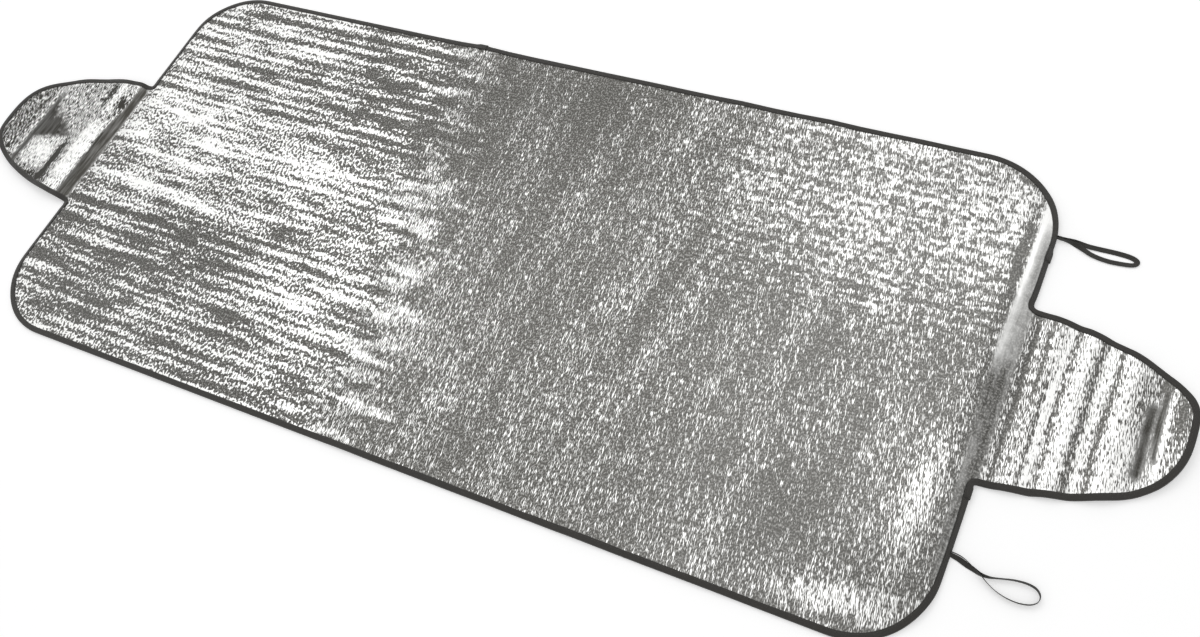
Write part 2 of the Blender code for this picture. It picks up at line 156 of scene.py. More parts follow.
# Rows of emboss across the panel: y, and the row's number there
ROW_KNOTS = ((-0.360, -18.3), (-0.312, -17.0), (-0.166, -13.0), (0.161, -4.0), (0.314, 0.0), (0.360, 1.2))
ROW_PAIR = 0.41
ROW_HALF_WIDTH = 0.13
SECOND_ROW_SHARE = 0.85

# Where the foil's short streaks take over from the rows: y, and x there
STREAK_BORDER = ((-0.359, -0.036), (-0.179, -0.045), (0.025, -0.093), (0.251, -0.163), (0.359, -0.193))
STREAK_BLEND = 0.200
STREAK_LEAD = 0.060
BORDER_BLEND = 0.100
ROW_FADE = 0.170

# The grid of the sheet's points: from FINE_FROM to its end they lie closer together, for the folds and ears
FINE_FROM = 0.718
FINE_SHARE = 0.45
GRID_END = 0.980
GRID_CLEAR_SHARE = 0.55


def ease(t):
    """Smooth step from 0 to 1."""
    t = np.clip(t, 0.0, 1.0)
    return t * t * (3.0 - 2.0 * t)


def at_knots(value, knots):
    """What a table of (place, amount) pairs gives at each place."""
    return np.interp(value, [k[0] for k in knots], [k[1] for k in knots])


def two_way(grid, i, j, s, t):
    """Values between four cells of a grid, at shares s and t of the way to the next ones."""
    near = grid[i, j] * (1 - s) + grid[(i + 1) % len(grid), j] * s
    across = (j + 1) % grid.shape[1]
    far = grid[i, across] * (1 - s) + grid[(i + 1) % len(grid), across] * s
    return near * (1 - t) + far * t


def drift(x, y, span_x, span_y, seed):
    """Soft seeded swells from -1 to 1, about span_x by span_y across."""
    lattice = np.random.default_rng(seed).uniform(-1.0, 1.0, (LATTICE, LATTICE))
    u = x / span_x + LATTICE / 2
    v = y / span_y + LATTICE / 2
    i = np.floor(u).astype(int)
    j = np.floor(v).astype(int)
    return two_way(lattice, i % LATTICE, j % LATTICE, ease(u - i), ease(v - j))


def patch(x, y, middle, reach, turn=0.0):
    """1 at the middle of an oval patch, falling softly to 0 past its reach."""
    angle = math.radians(turn)
    dx, dy = x - middle[0], y - middle[1]
    u = (dx * math.cos(angle) + dy * math.sin(angle)) / reach[0]
    v = (dy * math.cos(angle) - dx * math.sin(angle)) / reach[1]
    return np.exp(-(u * u + v * v))


def band(x, start, end, blend):
    """1 between start and end, falling to 0 within blend outside them."""
    return ease((x - start) / blend + 1.0) * ease((end - x) / blend + 1.0)


def past_end(x, y):
    """Distance out past the line of the nearer short end."""
    return np.abs(x) - PANEL_END + (x < 0) * (LEFT_DRAWN_IN - LEFT_DRAWN_IN_SLOPE * y)


def on_ear(x, y):
    """0 on the panel and 1 on the ears, with a soft change between them."""
    return ease((past_end(x, y) + 0.002) / 0.006)


# How the emboss, the ripples and the light lie on the foil

# Height of the broad ripples and depth of the ears' creases, as shares of the rows' height
RIPPLE_SHARE = 0.6
CREASE_SHARE = 1.4
# How much of the emboss is gone where the foil is pressed flat; the dull foil's painted light is turned down by the
# same share there
PRESSED_FLAT = 0.8

# Middle, reach and turn of patches of foil, and how much more of it catches the light there
LIT_PATCHES = (
    ((-0.600, 0.240), (0.260, 0.130), 0, 0.10),
    ((-0.560, 0.070), (0.260, 0.055), 0, 0.26),
    ((-0.600, 0.010), (0.180, 0.030), 0, 0.16),
    ((-0.280, 0.040), (0.150, 0.065), 0, 0.17),
    ((-0.230, 0.200), (0.140, 0.190), 0, -0.22),
    ((-0.390, 0.175), (0.060, 0.035), 0, -0.14),
    ((-0.650, 0.132), (0.045, 0.035), 0, 0.16),
    ((-0.125, -0.010), (0.035, 0.190), 0, -0.12),
    ((-0.120, 0.068), (0.030, 0.025), 0, 0.24),
    ((-0.540, -0.066), (0.150, 0.018), 0, 0.32),
    ((-0.190, -0.150), (0.150, 0.110), 0, 0.16),
    ((-0.110, 0.010), (0.060, 0.110), 0, 0.08),
    ((-0.480, -0.118), (0.170, 0.024), 0, -0.08),
    ((-0.290, -0.070), (0.110, 0.025), 0, -0.15),
    ((-0.725, -0.090), (0.030, 0.040), 0, -0.20),
    ((-0.560, -0.240), (0.240, 0.080), 0, -0.15),
    ((-0.300, -0.285), (0.075, 0.035), 0, -0.20),
    ((0.050, 0.290), (0.060, 0.160), 0, -0.07),
    ((0.590, 0.255), (0.250, 0.150), 0, 0.27),
    ((0.410, 0.200), (0.070, 0.140), 0, 0.12),
    ((0.500, 0.338), (0.200, 0.020), 0, 0.16),
    ((0.480, -0.290), (0.130, 0.060), 0, 0.10),
    ((0.697, -0.165), (0.022, 0.080), 0, 0.50),
    ((0.690, 0.290), (0.045, 0.050), 30, 0.25),
    ((0.640, 0.200), (0.060, 0.110), 0, 0.08),
    ((0.7175, 0.215), (0.0075, 0.090), 1, -0.55),
    ((0.699, 0.326), (0.026, 0.007), -38, -0.45),
    ((0.150, 0.100), (0.110, 0.070), 0, -0.03),
    ((0.130, -0.210), (0.110, 0.150), 0, 0.045),
    ((0.440, -0.330), (0.070, 0.020), 0, 0.05),
    ((-0.600, 0.340), (0.110, 0.012), 0, 0.14),
    ((0.660, -0.315), (0.080, 0.022), 8, 0.50),
    ((-0.695, -0.305), (0.045, 0.014), -45, 0.10),
    ((-0.480, -0.342), (0.160, 0.006), 0, 0.16),
    ((-0.630, -0.310), (0.070, 0.030), 0, -0.16),
    ((-0.700, 0.300), (0.030, 0.060), -35, 0.10),
)
# The same for the ears, with the distance out past the panel's end in place of x
RIGHT_EAR_PATCHES = (
    ((0.155, 0.045), (0.012, 0.045), 0, -0.30),
    ((0.175, 0.072), (0.009, 0.020), 0, -0.60),
    ((0.198, 0.040), (0.008, 0.032), 0, -0.40),
)
LEFT_EAR_PATCHES = (
    ((0.061, 0.085), (0.007, 0.034), 0, -0.45),
    ((0.028, 0.066), (0.010, 0.020), 0, -0.45),
    ((0.079, -0.068), (0.0065, 0.034), 0, -0.95),
    ((0.112, -0.060), (0.034, 0.026), 0, 0.36),
    ((0.110, -0.110), (0.080, 0.014), 0, -0.32),
)
# Stripes across an ear: distance out, half width, amount, and the reach along y with its blend
ALL_ACROSS = (-1.0, 1.0, 1.0)
RIGHT_EAR_STRIPES = (
    (0.054, 0.0060, 0.24, ALL_ACROSS),
    (0.079, 0.0070, 0.14, ALL_ACROSS),
    (0.106, 0.0050, 0.20, ALL_ACROSS),
    (0.136, 0.0130, 0.20, ALL_ACROSS),
    (0.1855, 0.0024, 0.55, ALL_ACROSS),
)
LEFT_EAR_STRIPES = ((0.046, 0.0060, 0.34, (0.060, 1.0, 0.020)),)
RIGHT_EAR_CREASES = (
    (0.015, 0.0036, 0.80, ALL_ACROSS),
    (0.032, 0.0026, 1.00, (0.040, 1.0, 0.060)),
    (0.045, 0.0030, 1.00, (-1.0, 0.025, 0.030)),
    (0.064, 0.0036, 0.90, ALL_ACROSS),
    (0.095, 0.0044, 1.00, ALL_ACROSS),
    (0.118, 0.0034, 0.90, ALL_ACROSS),
)

# Soft swells in the share of lit facets: amount, span along and across the cover, lean and seed
ROWS_SHARE = 0.42
ROWS_SWELLS = ((0.26, 0.080, 0.009, 0.0, 21), (0.22, 0.030, 0.008, 0.0, 22), (0.06, 0.090, 0.070, 0.0, 25))
STREAKS_SHARE = 0.15
STREAKS_SWELLS = ((0.07, 0.011, 0.090, 0.0, 23), (0.07, 0.040, 0.260, 0.12, 24), (0.05, 0.110, 0.110, 0.0, 26))


def patches(x, y, table):
    """The changes of a table of patches, added up at each plan point."""
    return sum(change * patch(x, y, middle, reach, turn) for middle, reach, turn, change in table)


def stripes(out, y, table):
    """The amounts of a table of stripes across an ear, added up at each plan point."""
    return sum(amount * line(out, middle, half) * band(y, *reach) for middle, half, amount, reach in table)


def swells(x, y, table):
    """The amounts of a table of soft swells, added up at each plan point."""
    return sum(amount * drift(x - lean * y, y, along, across, seed) for amount, along, across, lean, seed in table)


def row_number(x, y):
    """Which row of emboss lies at each plan point, with the rows wandering a little."""
    wander = drift(x, y, 0.150, 0.080, 11) * 0.0012
    return at_knots(y + wander, ROW_KNOTS)


def rows(x, y):
    """1 along the crest of each row of emboss and 0 between rows. The rows run in uneven pairs."""
    number = row_number(x, y)
    first = np.abs(number - np.round(number))
    second = np.abs(number + ROW_PAIR - np.round(number + ROW_PAIR))
    return line(first, 0.0, ROW_HALF_WIDTH) + SECOND_ROW_SHARE * line(second, 0.0, ROW_HALF_WIDTH)


def past_border(x, y, blend):
    """0 on the -X side of the crease between the foil's two halves, 1 on the +X side."""
    border = at_knots(y, STREAK_BORDER) + drift(x, y, 0.060, 0.014, 12) * 0.045
    return ease((x - border) / blend + 0.5)


def streakiness(x, y):
    """0 where the facets lie in rows along the cover, 1 where they lie in short streaks across it."""
    return past_border(x + STREAK_LEAD, y, STREAK_BLEND)


def row_strength(x, y):
    """How strongly the rows show: in full at the -X side, faintly at the back of the +X side."""
    beyond = past_border(x + 0.3 * ROW_FADE, y, ROW_FADE)
    back_right = ease((x - 0.150) / 0.250) * ease((y + 0.020) / 0.120)
    middle = 0.60 * band(y, -0.085, 0.105, 0.030)
    front = 0.25 * ease((-0.120 - y) / 0.040)
    return (1.0 - beyond) * (1.0 - middle - front) + 0.50 * beyond * back_right


def line(value, middle, half_width):
    """1 at the middle of a soft line, falling to 0 beside it."""
    return np.exp(-(((value - middle) / half_width) ** 2))


def left_dent(out, y):
    """1 in the smooth dent of the -X ear, which narrows from its tip fold towards the panel."""
    t = (out - 0.082) / 0.072
    ragged = 0.5 + 0.35 * drift(out, y, 0.0040, 0.0040, 34) + 0.25 * drift(out, y, 0.0016, 0.0016, 35)
    under = ease((y + 0.017 + 0.021 * t) / 0.010 + ragged)
    over = ease((0.048 * t - 0.017 - y) / 0.030 + ragged)
    return under * over * band(t, 0.0, 1.0, 0.06)


def right_bars(out, y):
    """1 in the two smooth folds across the +X ear's tip."""
    found = line(out, 0.1665 + 0.0010 * drift(out, y, 0.006, 0.006, 36), 0.0070) * band(y, -0.052, 0.036, 0.014)
    return found + line(out, 0.1775 + 0.9 * (y - 0.030) ** 2, 0.0036) * band(y, -0.026, 0.060, 0.012)


def pressed(x, y):
    """1 where the emboss is pressed flat: at the folds along the short ends and across the ears."""
    out = past_end(x, y)
    inner_side = 0.7237 - 0.0427 * np.minimum(y, 0.050) + 0.0025 * ease((y - 0.060) / 0.120)
    right_band = ease((x - inner_side) / 0.009) * band(y, -0.235, 0.318, 0.030)
    right_band = right_band * (1.0 - ease((x - 0.7480) / 0.010) * ease((0.135 - np.abs(y)) / 0.02))
    root_end = 0.0150 + 0.0080 * ease((0.075 - y) / 0.080)
    left = band(out, 0.0040, root_end, 0.0025) * ease((out + 0.002) / 0.004)
    left = left + left_dent(out, y) + line(out, 0.1570, 0.0050) * band(y, -0.085, 0.035, 0.035)
    found = np.where(x > 0, right_band + right_bars(out, y), left)
    return np.clip(1.15 * found, 0.0, 1.0)


def ear_creases(x, y):
    """How deep the narrow creases across the +X ear are, from 0 to 1."""
    out = x - PANEL_END + 0.0020 * drift(x, y, 0.030, 0.050, 33) - 0.15 * (y - 0.006) ** 2
    return stripes(out, y, RIGHT_EAR_CREASES) * (x > 0)


def lit_share(x, y):
    """The share of the foil's facets that catch the light, at each plan point."""
    streaky = past_border(x, y, BORDER_BLEND)
    in_rows = (ROWS_SHARE + swells(x, y, ROWS_SWELLS)) * (1.0 - streaky)
    in_streaks = (STREAKS_SHARE + swells(x, y, STREAKS_SWELLS)) * streaky
    return in_rows + in_streaks + patches(x, y, LIT_PATCHES)


def ear_share(x, y):
    """The same for the ears, which lie at other angles."""
    out = past_end(x, y)
    # Fewer lit facets in the creases and near the root, and more in the stripes: painted shade and light
    right = 0.56 - 0.47 * ear_creases(x, y) + 0.10 * drift(x, y, 0.010, 0.120, 31)
    right = right - 0.22 * (1.0 - ease((out - 0.002) / 0.040)) - 0.16 * ease((out - 0.178) / 0.008)
    right = right + stripes(out, y, RIGHT_EAR_STRIPES) + patches(out, y, RIGHT_EAR_PATCHES)
    left = 0.45 + 0.40 * band(out, 0.032, 0.056, 0.006) * ease((0.035 - y) / 0.030)
    left = left + stripes(out, y, LEFT_EAR_STRIPES) + patches(out, y, LEFT_EAR_PATCHES)
    left = left + 0.10 * drift(x, y, 0.030, 0.009, 32)
    tip = ease((out - 0.160) / 0.010)
    left = left * (1.0 - tip) + (0.26 + 0.30 * line(out, 0.1680, 0.0040)) * tip
    return np.where(x > 0, right, left)


def foil_light(x, y):
    """Share of lit facets over the whole cover, with the painted reflections and shade of its pressed bands."""
    out = past_end(x, y)
    ear, flat = on_ear(x, y), pressed(x, y)
    share = lit_share(x, y) * (1.0 - ear) + ear_share(x, y) * ear
    # The +X end's pressed band is painted: a painted highlight along it and at its back corner, brighter on the
    # back half
    glint = line(x, 0.7300, 0.0048) * (0.40 + 0.50 * ease((y - 0.110) / 0.090)) * ease((y - 0.010) / 0.060)
    glint = glint + 0.70 * patch(x, y, (0.738, 0.285), (0.012, 0.034))
    tone = 0.10 + 0.28 * ease((y - 0.010) / 0.060) + glint + 0.12 * drift(x, y, 0.005, 0.090, 41)
    tone = tone + 0.12 * drift(x, y, 0.004, 0.006, 43)
    # The ears' pressed dent and folds show almost no lit foil: painted shade
    tone = np.where(out > 0.004, 0.03 + 0.03 * drift(x, y, 0.02, 0.03, 42), tone)
    return share * (1.0 - flat) + tone * flat


def ear_shade(x, y):
    """How much darker the dull foil looks on the ears, which tilt away from the light."""
    out = past_end(x, y)
    return ease((out - 0.001) / 0.004) * np.where(x > 0, 0.20 + 0.65 * np.clip(right_bars(out, y), 0.0, 1.0), 1.0)


def ground_light(x, y):
    """How pale the dull foil between the facets looks, from 0 to 1."""
    right = 0.50 * ease((x - 0.250) / 0.250) + 0.28 * ease((x - 0.300) / 0.250) * ease((y - 0.050) / 0.120)
    return np.clip(0.03 + right + 0.45 * patch(x, y, (-0.560, -0.270), (0.260, 0.110)), 0.0, 1.0)


def ripple_height(x, y, foil):
    """Height of the emboss rows, streaks and creases over the smooth sheet."""
    ear = on_ear(x, y)
    height = foil.row_height * row_strength(x, y) * rows(x, y) * (1.0 - ear)
    height = height + foil.streak_height * streakiness(x, y) * drift(x, y, 0.009, 0.050, 51) * (1.0 - ear)
    height = height + RIPPLE_SHARE * foil.row_height * drift(x, y, 0.060, 0.024, 52)
    height = height - CREASE_SHARE * foil.row_height * ear_creases(x, y) * ear
    return height * (1.0 - PRESSED_FLAT * pressed(x, y))


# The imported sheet, read back as an edge and a resting surface


def joined_shape(node):
    """The node's solid with its split corners joined again."""
    shape = bmesh.new()
    shape.from_mesh(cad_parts[node].data)
    bmesh.ops.remove_doubles(shape, verts=shape.verts, dist=1e-6)
    bmesh.ops.recalc_face_normals(shape, faces=shape.faces)
    return shape


def lower_rim(shape):
    """The points round the underside of the sheet's cut edge, counter-clockwise."""
    links = {}
    for edge in shape.edges:
        if len(edge.link_faces) == 2 and edge.calc_face_angle() > RIM_FOLD_ANGLE:
            first, second = edge.verts
            links.setdefault(first, []).append(second)
            links.setdefault(second, []).append(first)
    loops = []
    left = set(links)
    while left:
        at = min(left, key=lambda v: v.index)
        loop = []
        while at in left:
            left.discard(at)
            loop.append(at.co.copy())
            onward = [v for v in links[at] if v in left]
            at = onward[0] if onward else at
        loops.append(np.array(loop))
    rim = min(loops, key=lambda p: p[:, 2].mean())
    following = np.roll(rim, -1, axis=0)
    turning = (rim[:, 0] * following[:, 1] - rim[:, 1] * following[:, 0]).sum()
    return rim if turning > 0 else rim[::-1]


def arc_lengths(points):
    """Distance along a line of points to each of them."""
    return np.concatenate([[0.0], np.cumsum(np.linalg.norm(np.diff(points, axis=0), axis=1))])


def evenly(points, step, closed):
    """A line's points at even steps, and its length. A closed line comes without its last point."""
    along = arc_lengths(points)
    even = np.linspace(0.0, along[-1], round(along[-1] / step) + (not closed), endpoint=not closed)
    return np.stack([np.interp(even, along, points[:, k]) for k in range(3)], axis=1), along[-1]


def curve_between(here, there, leaving, arriving, count):
    """Points of the smooth curves from each point to its next one, with the given slopes at both."""
    dense = []
    for t in np.linspace(0.0, 1.0, count, endpoint=False):
        a = 2 * t**3 - 3 * t**2 + 1
        b = t**3 - 2 * t**2 + t
        c = t**3 - t**2
        dense.append(a * here + b * leaving + (1 - a) * there + c * arriving)
    return np.stack(dense, axis=1).reshape(-1, 3)


def smooth_loop(points, step):
    """A closed curve at even steps through the points: smooth on bends, and straight where they are far apart."""
    there = np.roll(points, -1, axis=0)
    gap = np.linalg.norm(there - points, axis=1)[:, None]
    rate = (there - points) / gap
    before, rate_before = np.roll(gap, 1, axis=0), np.roll(rate, 1, axis=0)
    slope = (rate * before + rate_before * gap) / (gap + before)
    straight = gap > STRAIGHT_GAP
    leaving = np.where(straight, rate, slope)
    arriving = np.where(straight, rate, np.roll(slope, -1, axis=0))
    dense = curve_between(points, there, gap * leaving, gap * arriving, RIM_CURVE_POINTS)
    return evenly(np.vstack([dense, dense[:1]]), step, closed=True)


def circular_mean(values, reach):
    """Running mean round a closed row of values."""
    found = np.zeros_like(values)
    for shift in range(-reach, reach + 1):
        found += np.roll(values, shift, axis=0)
    return found / (2 * reach + 1)


def unit(vectors):
    return vectors / np.linalg.norm(vectors, axis=-1, keepdims=True)


class RestingSheet:
    """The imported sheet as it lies: its rim, the way in from it, and the height of its underside."""

    def __init__(self, step):
        shape = joined_shape(SHEET_NODE)
        self.tree = BVHTree.FromBMesh(shape)
        self.rim, self.length = smooth_loop(lower_rim(shape), step)
        shape.free()
        self.step = self.length / len(self.rim)
        ahead = np.roll(self.rim, -1, axis=0) - np.roll(self.rim, 1, axis=0)
        plan = unit(ahead[:, :2])
        inward = np.stack([-plan[:, 1], plan[:, 0]], axis=1)
        near = self.rim[:, :2] + inward * STRIP_PROBE * STRIP_WIDTH
        drop = circular_mean(self.underside(near) - self.rim[:, 2], 2) / STRIP_PROBE
        strip = np.column_stack([inward * STRIP_WIDTH, drop])
        self.inward = unit(strip)
        self.up = unit(np.cross(unit(ahead), self.inward))
        self.up *= np.sign(self.up[:, 2:])
        self.strip = np.linalg.norm(strip, axis=1)
        self.near = KDTree(len(self.rim))
        for k, point in enumerate(self.rim):
            self.near.insert((point[0], point[1], 0.0), k)
        self.near.balance()
        self.read_broad_shape()

    def underside(self, plan):
        """Height of the solid's underside at plan points, or not a number off the sheet."""
        found = np.full(len(plan), np.nan)
        for k, (x, y) in enumerate(plan):
            hit = self.tree.ray_cast((x, y, -1.0), (0.0, 0.0, 1.0))[0]
            if hit is not None:
                found[k] = hit[2]
        return found

    def read_broad_shape(self):
        """A raster of the underside, smoothed across the solid's flat facets."""
        self.xs, self.ys = (np.arange(-half, half + 0.2 * RASTER_CELL, RASTER_CELL) for half in RASTER_HALF)
        gx, gy = np.meshgrid(self.xs, self.ys, indexing="ij")
        raw = self.underside(np.column_stack([gx.ravel(), gy.ravel()])).reshape(gx.shape)
        known = ~np.isnan(raw)
        raw = np.where(known, raw, 0.0)
        broad = blurred(raw, known, PANEL_BLUR)
        tight = blurred(raw, known, END_BLUR)
        at_end = ease((np.abs(gx) - END_FROM) / END_BLEND)
        self.broad = broad * (1.0 - at_end) + tight * at_end

    def edge_distance(self, plan):
        return np.array([self.near.find((x, y, 0.0))[2] for x, y in plan])

    def height(self, plan, from_edge):
        """Underside height at plan points: the solid's own beside the tape, smoothed further in."""
        u = (plan[:, 0] - self.xs[0]) / RASTER_CELL
        v = (plan[:, 1] - self.ys[0]) / RASTER_CELL
        i, j = np.floor(u).astype(int), np.floor(v).astype(int)
        smooth = two_way(self.broad, i, j, u - i, v - j)
        raw = self.underside(plan)
        raw = np.where(np.isnan(raw), smooth, raw)
        inner = ease((from_edge - STRIP_WIDTH) / INNER_BLEND)
        return raw * (1.0 - inner) + smooth * inner


def blurred(values, known, blur):
    """A raster blurred softly along and across, without the cells that aren't known."""
    total, weight = values * known, known.astype(float)
    for axis, sigma in enumerate(length / RASTER_CELL for length in blur):
        reach = math.ceil(3 * sigma)
        kernel = np.exp(-0.5 * (np.arange(-reach, reach + 1) / sigma) ** 2)
        total, weight = (np.apply_along_axis(np.convolve, axis, grid, kernel, "same") for grid in (total, weight))
    return total / np.maximum(weight, 1e-9)


# Materials

# How the foil's facets are drawn. Cells are in metres, along and across the cover
NOISE_SPREAD = 0.125
LEAN_SWIRL = (16.0, (0.003, 0.001, 0.0))
WAVER_CELL = (0.030, 0.014)
ROW_SLOPES = (1.35, 1.05)
ROW_SIDES = (0.05, 0.25)
ROW_CREST = 0.36
SPARK_WIDTHS = (0.25, 0.45)
CHAIN_CELL = (0.0030, 0.030)
CHAIN_STRENGTH = 3.6
CLUMP_CELL = (0.011, 0.008)
CLUMP_STRENGTH = 6.0
# Scale and strength of the painted streaky reflections on the foil where it is pressed flat
PRESSED_SHEEN_SCALE = (260.0, 22.0, 1.0)
PRESSED_SHEEN_STRENGTH = 0.35
FINE_CELL = (0.0022, 0.0034)


class Nodes:
    """Short calls for the nodes of one material or world."""

    def __init__(self, tree):
        self.tree = tree

    def put(self, socket, value):
        """Links another node's output to the socket, or gives it a plain value."""
        if isinstance(value, bpy.types.NodeSocket):
            self.tree.links.new(value, socket)
        else:
            socket.default_value = value

    def node(self, kind, *inputs, **settings):
        """A node of this kind with its settings, and with what goes into its named or numbered sockets."""
        made = self.tree.nodes.new(kind)
        for name, value in settings.items():
            setattr(made, name, value)
        for socket, value in inputs:
            self.put(made.inputs[socket], value)
        return made

    def math(self, operation, first, *rest):
        """One number from several, taken in turn."""
        for value in rest:
            first = self.node("ShaderNodeMath", (0, first), (1, value), operation=operation).outputs["Value"]
        return first

    def times(self, *values):
        return self.math("MULTIPLY", *values)

    def plus(self, *values):
        return self.math("ADD", *values)

    def mix(self, share, a, b):
        """A number between a and b."""
        return self.node("ShaderNodeMix", (0, share), (2, a), (3, b), data_type="FLOAT").outputs[0]

    def seen(self):
        """1 for what the camera sees, also by reflection or through something, and 0 for what lights the scene."""
        path = self.node("ShaderNodeLightPath").outputs
        return self.math("MAXIMUM", path["Is Camera Ray"], path["Is Glossy Ray"], path["Is Transmission Ray"])


class Finish(Nodes):
    """One procedural material."""

    def __init__(self, name, colour, roughness, metallic=0.0):
        self.material = bpy.data.materials.new(name)
        self.material.use_nodes = True
        super().__init__(self.material.node_tree)
        self.shader = self.tree.nodes["Principled BSDF"]
        self.set("Base Color", (*colour, 1.0))
        self.set("Roughness", roughness)
        self.set("Metallic", metallic)

    def set(self, socket, value):
        self.put(self.shader.inputs[socket], value)

    def place(self):
        return self.node("ShaderNodeTexCoord").outputs["Object"]

    def run(self):
        return self.node("ShaderNodeTexCoord").outputs["UV"]

    def value(self, name):
        """A number that the mesh carries at its points."""
        return self.node("ShaderNodeAttribute", attribute_name=name).outputs["Fac"]

    def mapped(self, kind, vector, scale, turn):
        rotation = (0.0, 0.0, math.radians(turn))
        sockets = (("Vector", vector), ("Rotation", rotation), ("Scale", scale))
        return self.node("ShaderNodeMapping", *sockets, vector_type=kind).outputs["Vector"]

    def scaled(self, vector, scale, turn=0.0):
        return self.mapped("POINT", vector, scale, turn)

    def cells(self, vector, size, turn=0.0):
        """The place measured in cells of the given size, which are turned by an angle in degrees."""
        return self.mapped("TEXTURE", vector, (*size, 1.0), turn)

    def noise(self, vector, detail, roughness, scale=1.0):
        sockets = (("Vector", vector), ("Scale", scale), ("Detail", detail), ("Roughness", roughness))
        return self.node("ShaderNodeTexNoise", *sockets).outputs["Fac"]

    def centred(self, vector, detail, roughness):
        """A noise on both sides of 0."""
        return self.math("SUBTRACT", self.noise(vector, detail, roughness), 0.5)

    def swirl(self, vector, scale, amount):
        """The vector pushed about softly by a broad noise."""
        made = self.node("ShaderNodeTexNoise", ("Vector", vector), ("Scale", scale), ("Detail", 1.0))
        centred = self.vector("SUBTRACT", made.outputs["Color"], (0.5, 0.5, 0.5))
        return self.vector("ADD", vector, self.vector("MULTIPLY", centred, amount))

    def vector(self, operation, a, b):
        return self.node("ShaderNodeVectorMath", (0, a), (1, b), operation=operation).outputs["Vector"]

    def step(self, value, low, high):
        """Smooth step of the value between low and high."""
        sockets = (("Value", value), ("From Min", low), ("From Max", high))
        return self.node("ShaderNodeMapRange", *sockets, interpolation_type="SMOOTHSTEP").outputs["Result"]

    def mix_colour(self, share, a, b):
        a, b = (c if isinstance(c, bpy.types.NodeSocket) else (*c, 1.0) for c in (a, b))
        return self.node("ShaderNodeMix", (0, share), (6, a), (7, b), data_type="RGBA").outputs[2]

    def wave(self, vector, direction, pitch, distortion):
        sockets = (("Vector", vector), ("Scale", math.pi / (10.0 * pitch)), ("Distortion", distortion))
        return self.node("ShaderNodeTexWave", *sockets, bands_direction=direction).outputs["Fac"]

    def bump(self, height, distance, strength, over=None):
        sockets = [("Height", height), ("Distance", distance), ("Strength", strength)]
        if over is not None:
            sockets.append(("Normal", over))
        return self.node("ShaderNodeBump", *sockets).outputs["Normal"]


def foil_finish(foil):
    """Embossed aluminium foil: dull ground with facets that catch the light, painted into its colour as bright and
    dull; flat where pressed, with painted streaky reflections there.
    """
    finish = Finish("embossed_foil", foil.dull_colour, foil.foil_roughness, 1.0)
    place = finish.place()
    streaky = finish.value("streaky")
    strength = finish.value("row_strength")
    leaning = finish.swirl(place, *LEAN_SWIRL)
    facets = finish.cells(place, (foil.facet_width, foil.facet_length), foil.facet_lean)
    streaks = finish.cells(leaning, (foil.streak_width, foil.streak_length), foil.streak_lean)
    grain = finish.mix(streaky, finish.noise(facets, 1.0, 0.6), finish.noise(streaks, 1.0, 0.6))
    standard = finish.times(finish.math("SUBTRACT", grain, 0.5), 1.0 / NOISE_SPREAD)
    waver = finish.centred(finish.cells(place, WAVER_CELL), 1.0, 0.6)
    loose = finish.times(waver, finish.mix(streaky, foil.row_waver, foil.loose_row_waver))
    # Along each row's crest more facets are lit and between rows fewer: painted highlight and shade over the emboss
    # rows
    number = finish.plus(finish.value("row"), loose)
    first = finish.math("PINGPONG", number, 0.5)
    second = finish.math("PINGPONG", finish.plus(number, ROW_PAIR), 0.5)
    first, second = (finish.times(row, slope) for row, slope in zip((first, second), ROW_SLOPES))
    between = finish.step(finish.math("MINIMUM", first, second), *ROW_SIDES)
    crest = finish.math("SUBTRACT", ROW_CREST, between)
    level = finish.plus(finish.value("lit_level"), finish.times(crest, strength))
    width = finish.mix(streaky, *SPARK_WIDTHS)
    chain = finish.centred(finish.cells(leaning, CHAIN_CELL, foil.streak_lean), 1.0, 0.5)
    chain = finish.times(chain, finish.times(finish.value("chained"), CHAIN_STRENGTH))
    clump = finish.centred(finish.cells(leaning, CLUMP_CELL), 1.0, 0.5)
    clump = finish.times(clump, finish.times(streaky, strength, CLUMP_STRENGTH))
    raised = finish.plus(standard, level, chain, clump)
    spark = finish.step(raised, finish.times(width, -1.0), width)
    # Painted streaky reflections added to the tone of the pressed, smooth foil
    pressed_sheen = finish.times(finish.centred(finish.scaled(place, PRESSED_SHEEN_SCALE), 3.0, 0.6), PRESSED_SHEEN_STRENGTH)
    smooth_tone = finish.plus(finish.value("lit_share"), pressed_sheen)
    smooth_tone = finish.math("MINIMUM", finish.math("MAXIMUM", smooth_tone, 0.0), 1.0)
    shine = finish.mix(finish.value("pressed"), spark, smooth_tone)
    fine = finish.noise(finish.cells(place, FINE_CELL), 1.0, 0.5)
    ground = finish.mix_colour(finish.value("ground_light"), foil.dull_colour, foil.pale_ground_colour)
    ground = finish.mix_colour(finish.step(fine, 0.44, 0.70), ground, foil.fine_glint_colour)
    ground = finish.mix_colour(finish.value("shaded"), ground, foil.shaded_colour)
    finish.set("Base Color", finish.mix_colour(shine, ground, foil.bright_colour))
    raised_facets = finish.bump(shine, foil.facet_depth, 0.5)
    finish.set("Normal", finish.bump(fine, foil.facet_depth * 0.25, 0.4, raised_facets))
    return finish.material


def foam_finish(foil):
    """The pale foam backing under the foil, with small closed cells."""
    finish = Finish("foam_backing", foil.foam_colour, 0.75)
    place = finish.place()
    sockets = (("Vector", place), ("Scale", 420.0), ("Smoothness", 0.4))
    cells = finish.node("ShaderNodeTexVoronoi", *sockets, feature="SMOOTH_F1")
    cloud = finish.noise(place, 3.0, 0.6, 14.0)
    shade = finish.mix_colour(finish.step(cloud, 0.3, 0.7), foil.foam_colour, foil.foam_shade_colour)
    finish.set("Base Color", shade)
    finish.set("Normal", finish.bump(cells.outputs["Distance"], 0.0006, 0.6))
    return finish.material


